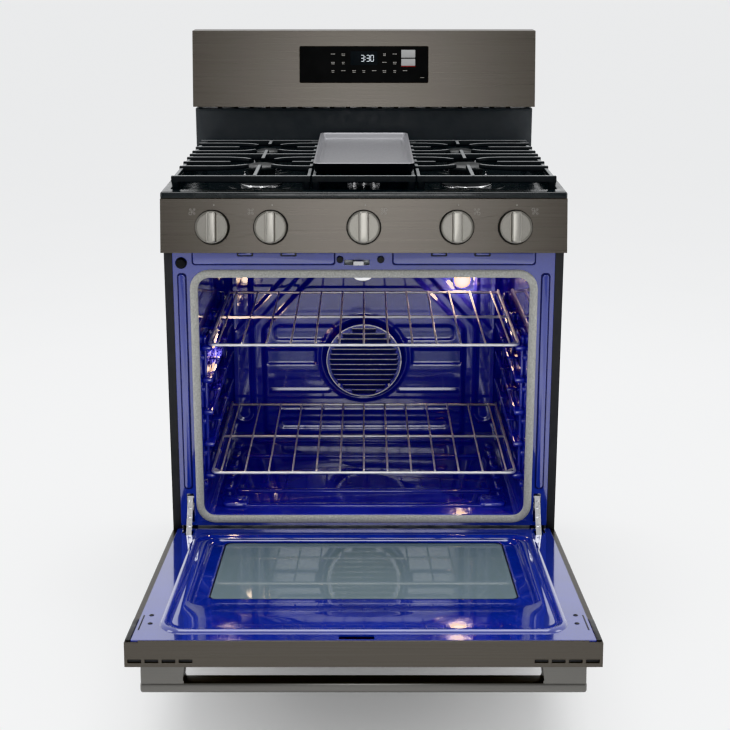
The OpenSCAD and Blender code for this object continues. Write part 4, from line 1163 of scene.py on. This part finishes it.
rim = Shape(ON_DOOR)
rim.ring(lambda inset: [(x, window_u + y) for x, y in
                        rounded_rect(window_x - inset, window_half - inset, 14, 8, 12)],
         [(0.3, 8.85), (0.3, 9.6), (1.6, 9.6), (2.6, 8.85)])
make(rim, "window_retainer", "dark_trim", body="door")

low_u, high_u = door_top - 56, door_top - 22
bar_half, bar_v = 357.5, door_face - 53
handle = Shape(ON_DOOR)
rings = []
for x, inset in ((-bar_half, 3.2), (-bar_half + 0.9, 1.2), (-bar_half + 3, 0), (0, 0), (bar_half - 3, 0),
                 (bar_half - 0.9, 1.2), (bar_half, 3.2)):
    rings.append([(x, (low_u + high_u) / 2 + u, bar_v + 9 + v)
                  for u, v in rounded_rect(17 - inset, 9 - inset, 5.2 - inset * 0.8, 5)])
handle.loft(rings)
for side in (-1, 1):
    rings = []
    for v, inner, inset in ((bar_v + 12, 0, 0.8), (bar_v + 18.4, 0, 0.3), (bar_v + 22, 1.5, 0.3),
                            (door_face - 6, -2, 0.3), (door_face + 0.6, -3, 0.3)):
        half = 35 - inner / 2
        rings.append([(side * (bar_half - 0.8 - half) + x, (low_u + high_u) / 2 + u, v)
                      for x, u in rounded_rect(half, 16.4 - inset, 2.4, 5)])
    handle.loft(rings)
make(handle, "door_handle_bar", "handle_metal", "door_handle")

# ---- Feet, screws and small fittings ----

feet = Shape()
for x in (-330, 330):
    for y in (-250, 250):
        spot = at(x, y, 0)
        feet.lathe([(16.5, 0), (18.6, 0.8), (19, 2.4), (19, 8.6), (18, 10.6), (15.5, 11.8), (0.1, 12)],
                   spot, 40)
        feet.lathe([(14, 11), (14, 14), (12.8, 15), (0.1, 15)], spot, 6)
        feet.lathe([(r, z) for k in range(16) for r, z in ((5.4, 12 + k * 2.6), (4.7, 13.3 + k * 2.6))],
                   spot, 20)
make(feet, "levelling_feet", "black_rubber", "levelling_legs")

outer_x, outer_y = guard_high.x, box_mm("rear_panel")[1].y
fasteners = Shape()
for side in (-1, 1):
    sideways = about("Y", 90 * side)
    for y, z in ((-240, 110), (0, 110), (240, 110), (268, 300), (268, 520), (268, 740)):
        screw(fasteners, at(side * outer_x, y, z) @ sideways, 4.4, 1.8)
for x in (-350, -120, 120, 350):
    for z in (150, 420, 700, 860):
        screw(fasteners, at(x, outer_y, z) @ about("X", -90), 4.2, 1.8)
make(fasteners, "casing_screws", "galvanised_sheet")
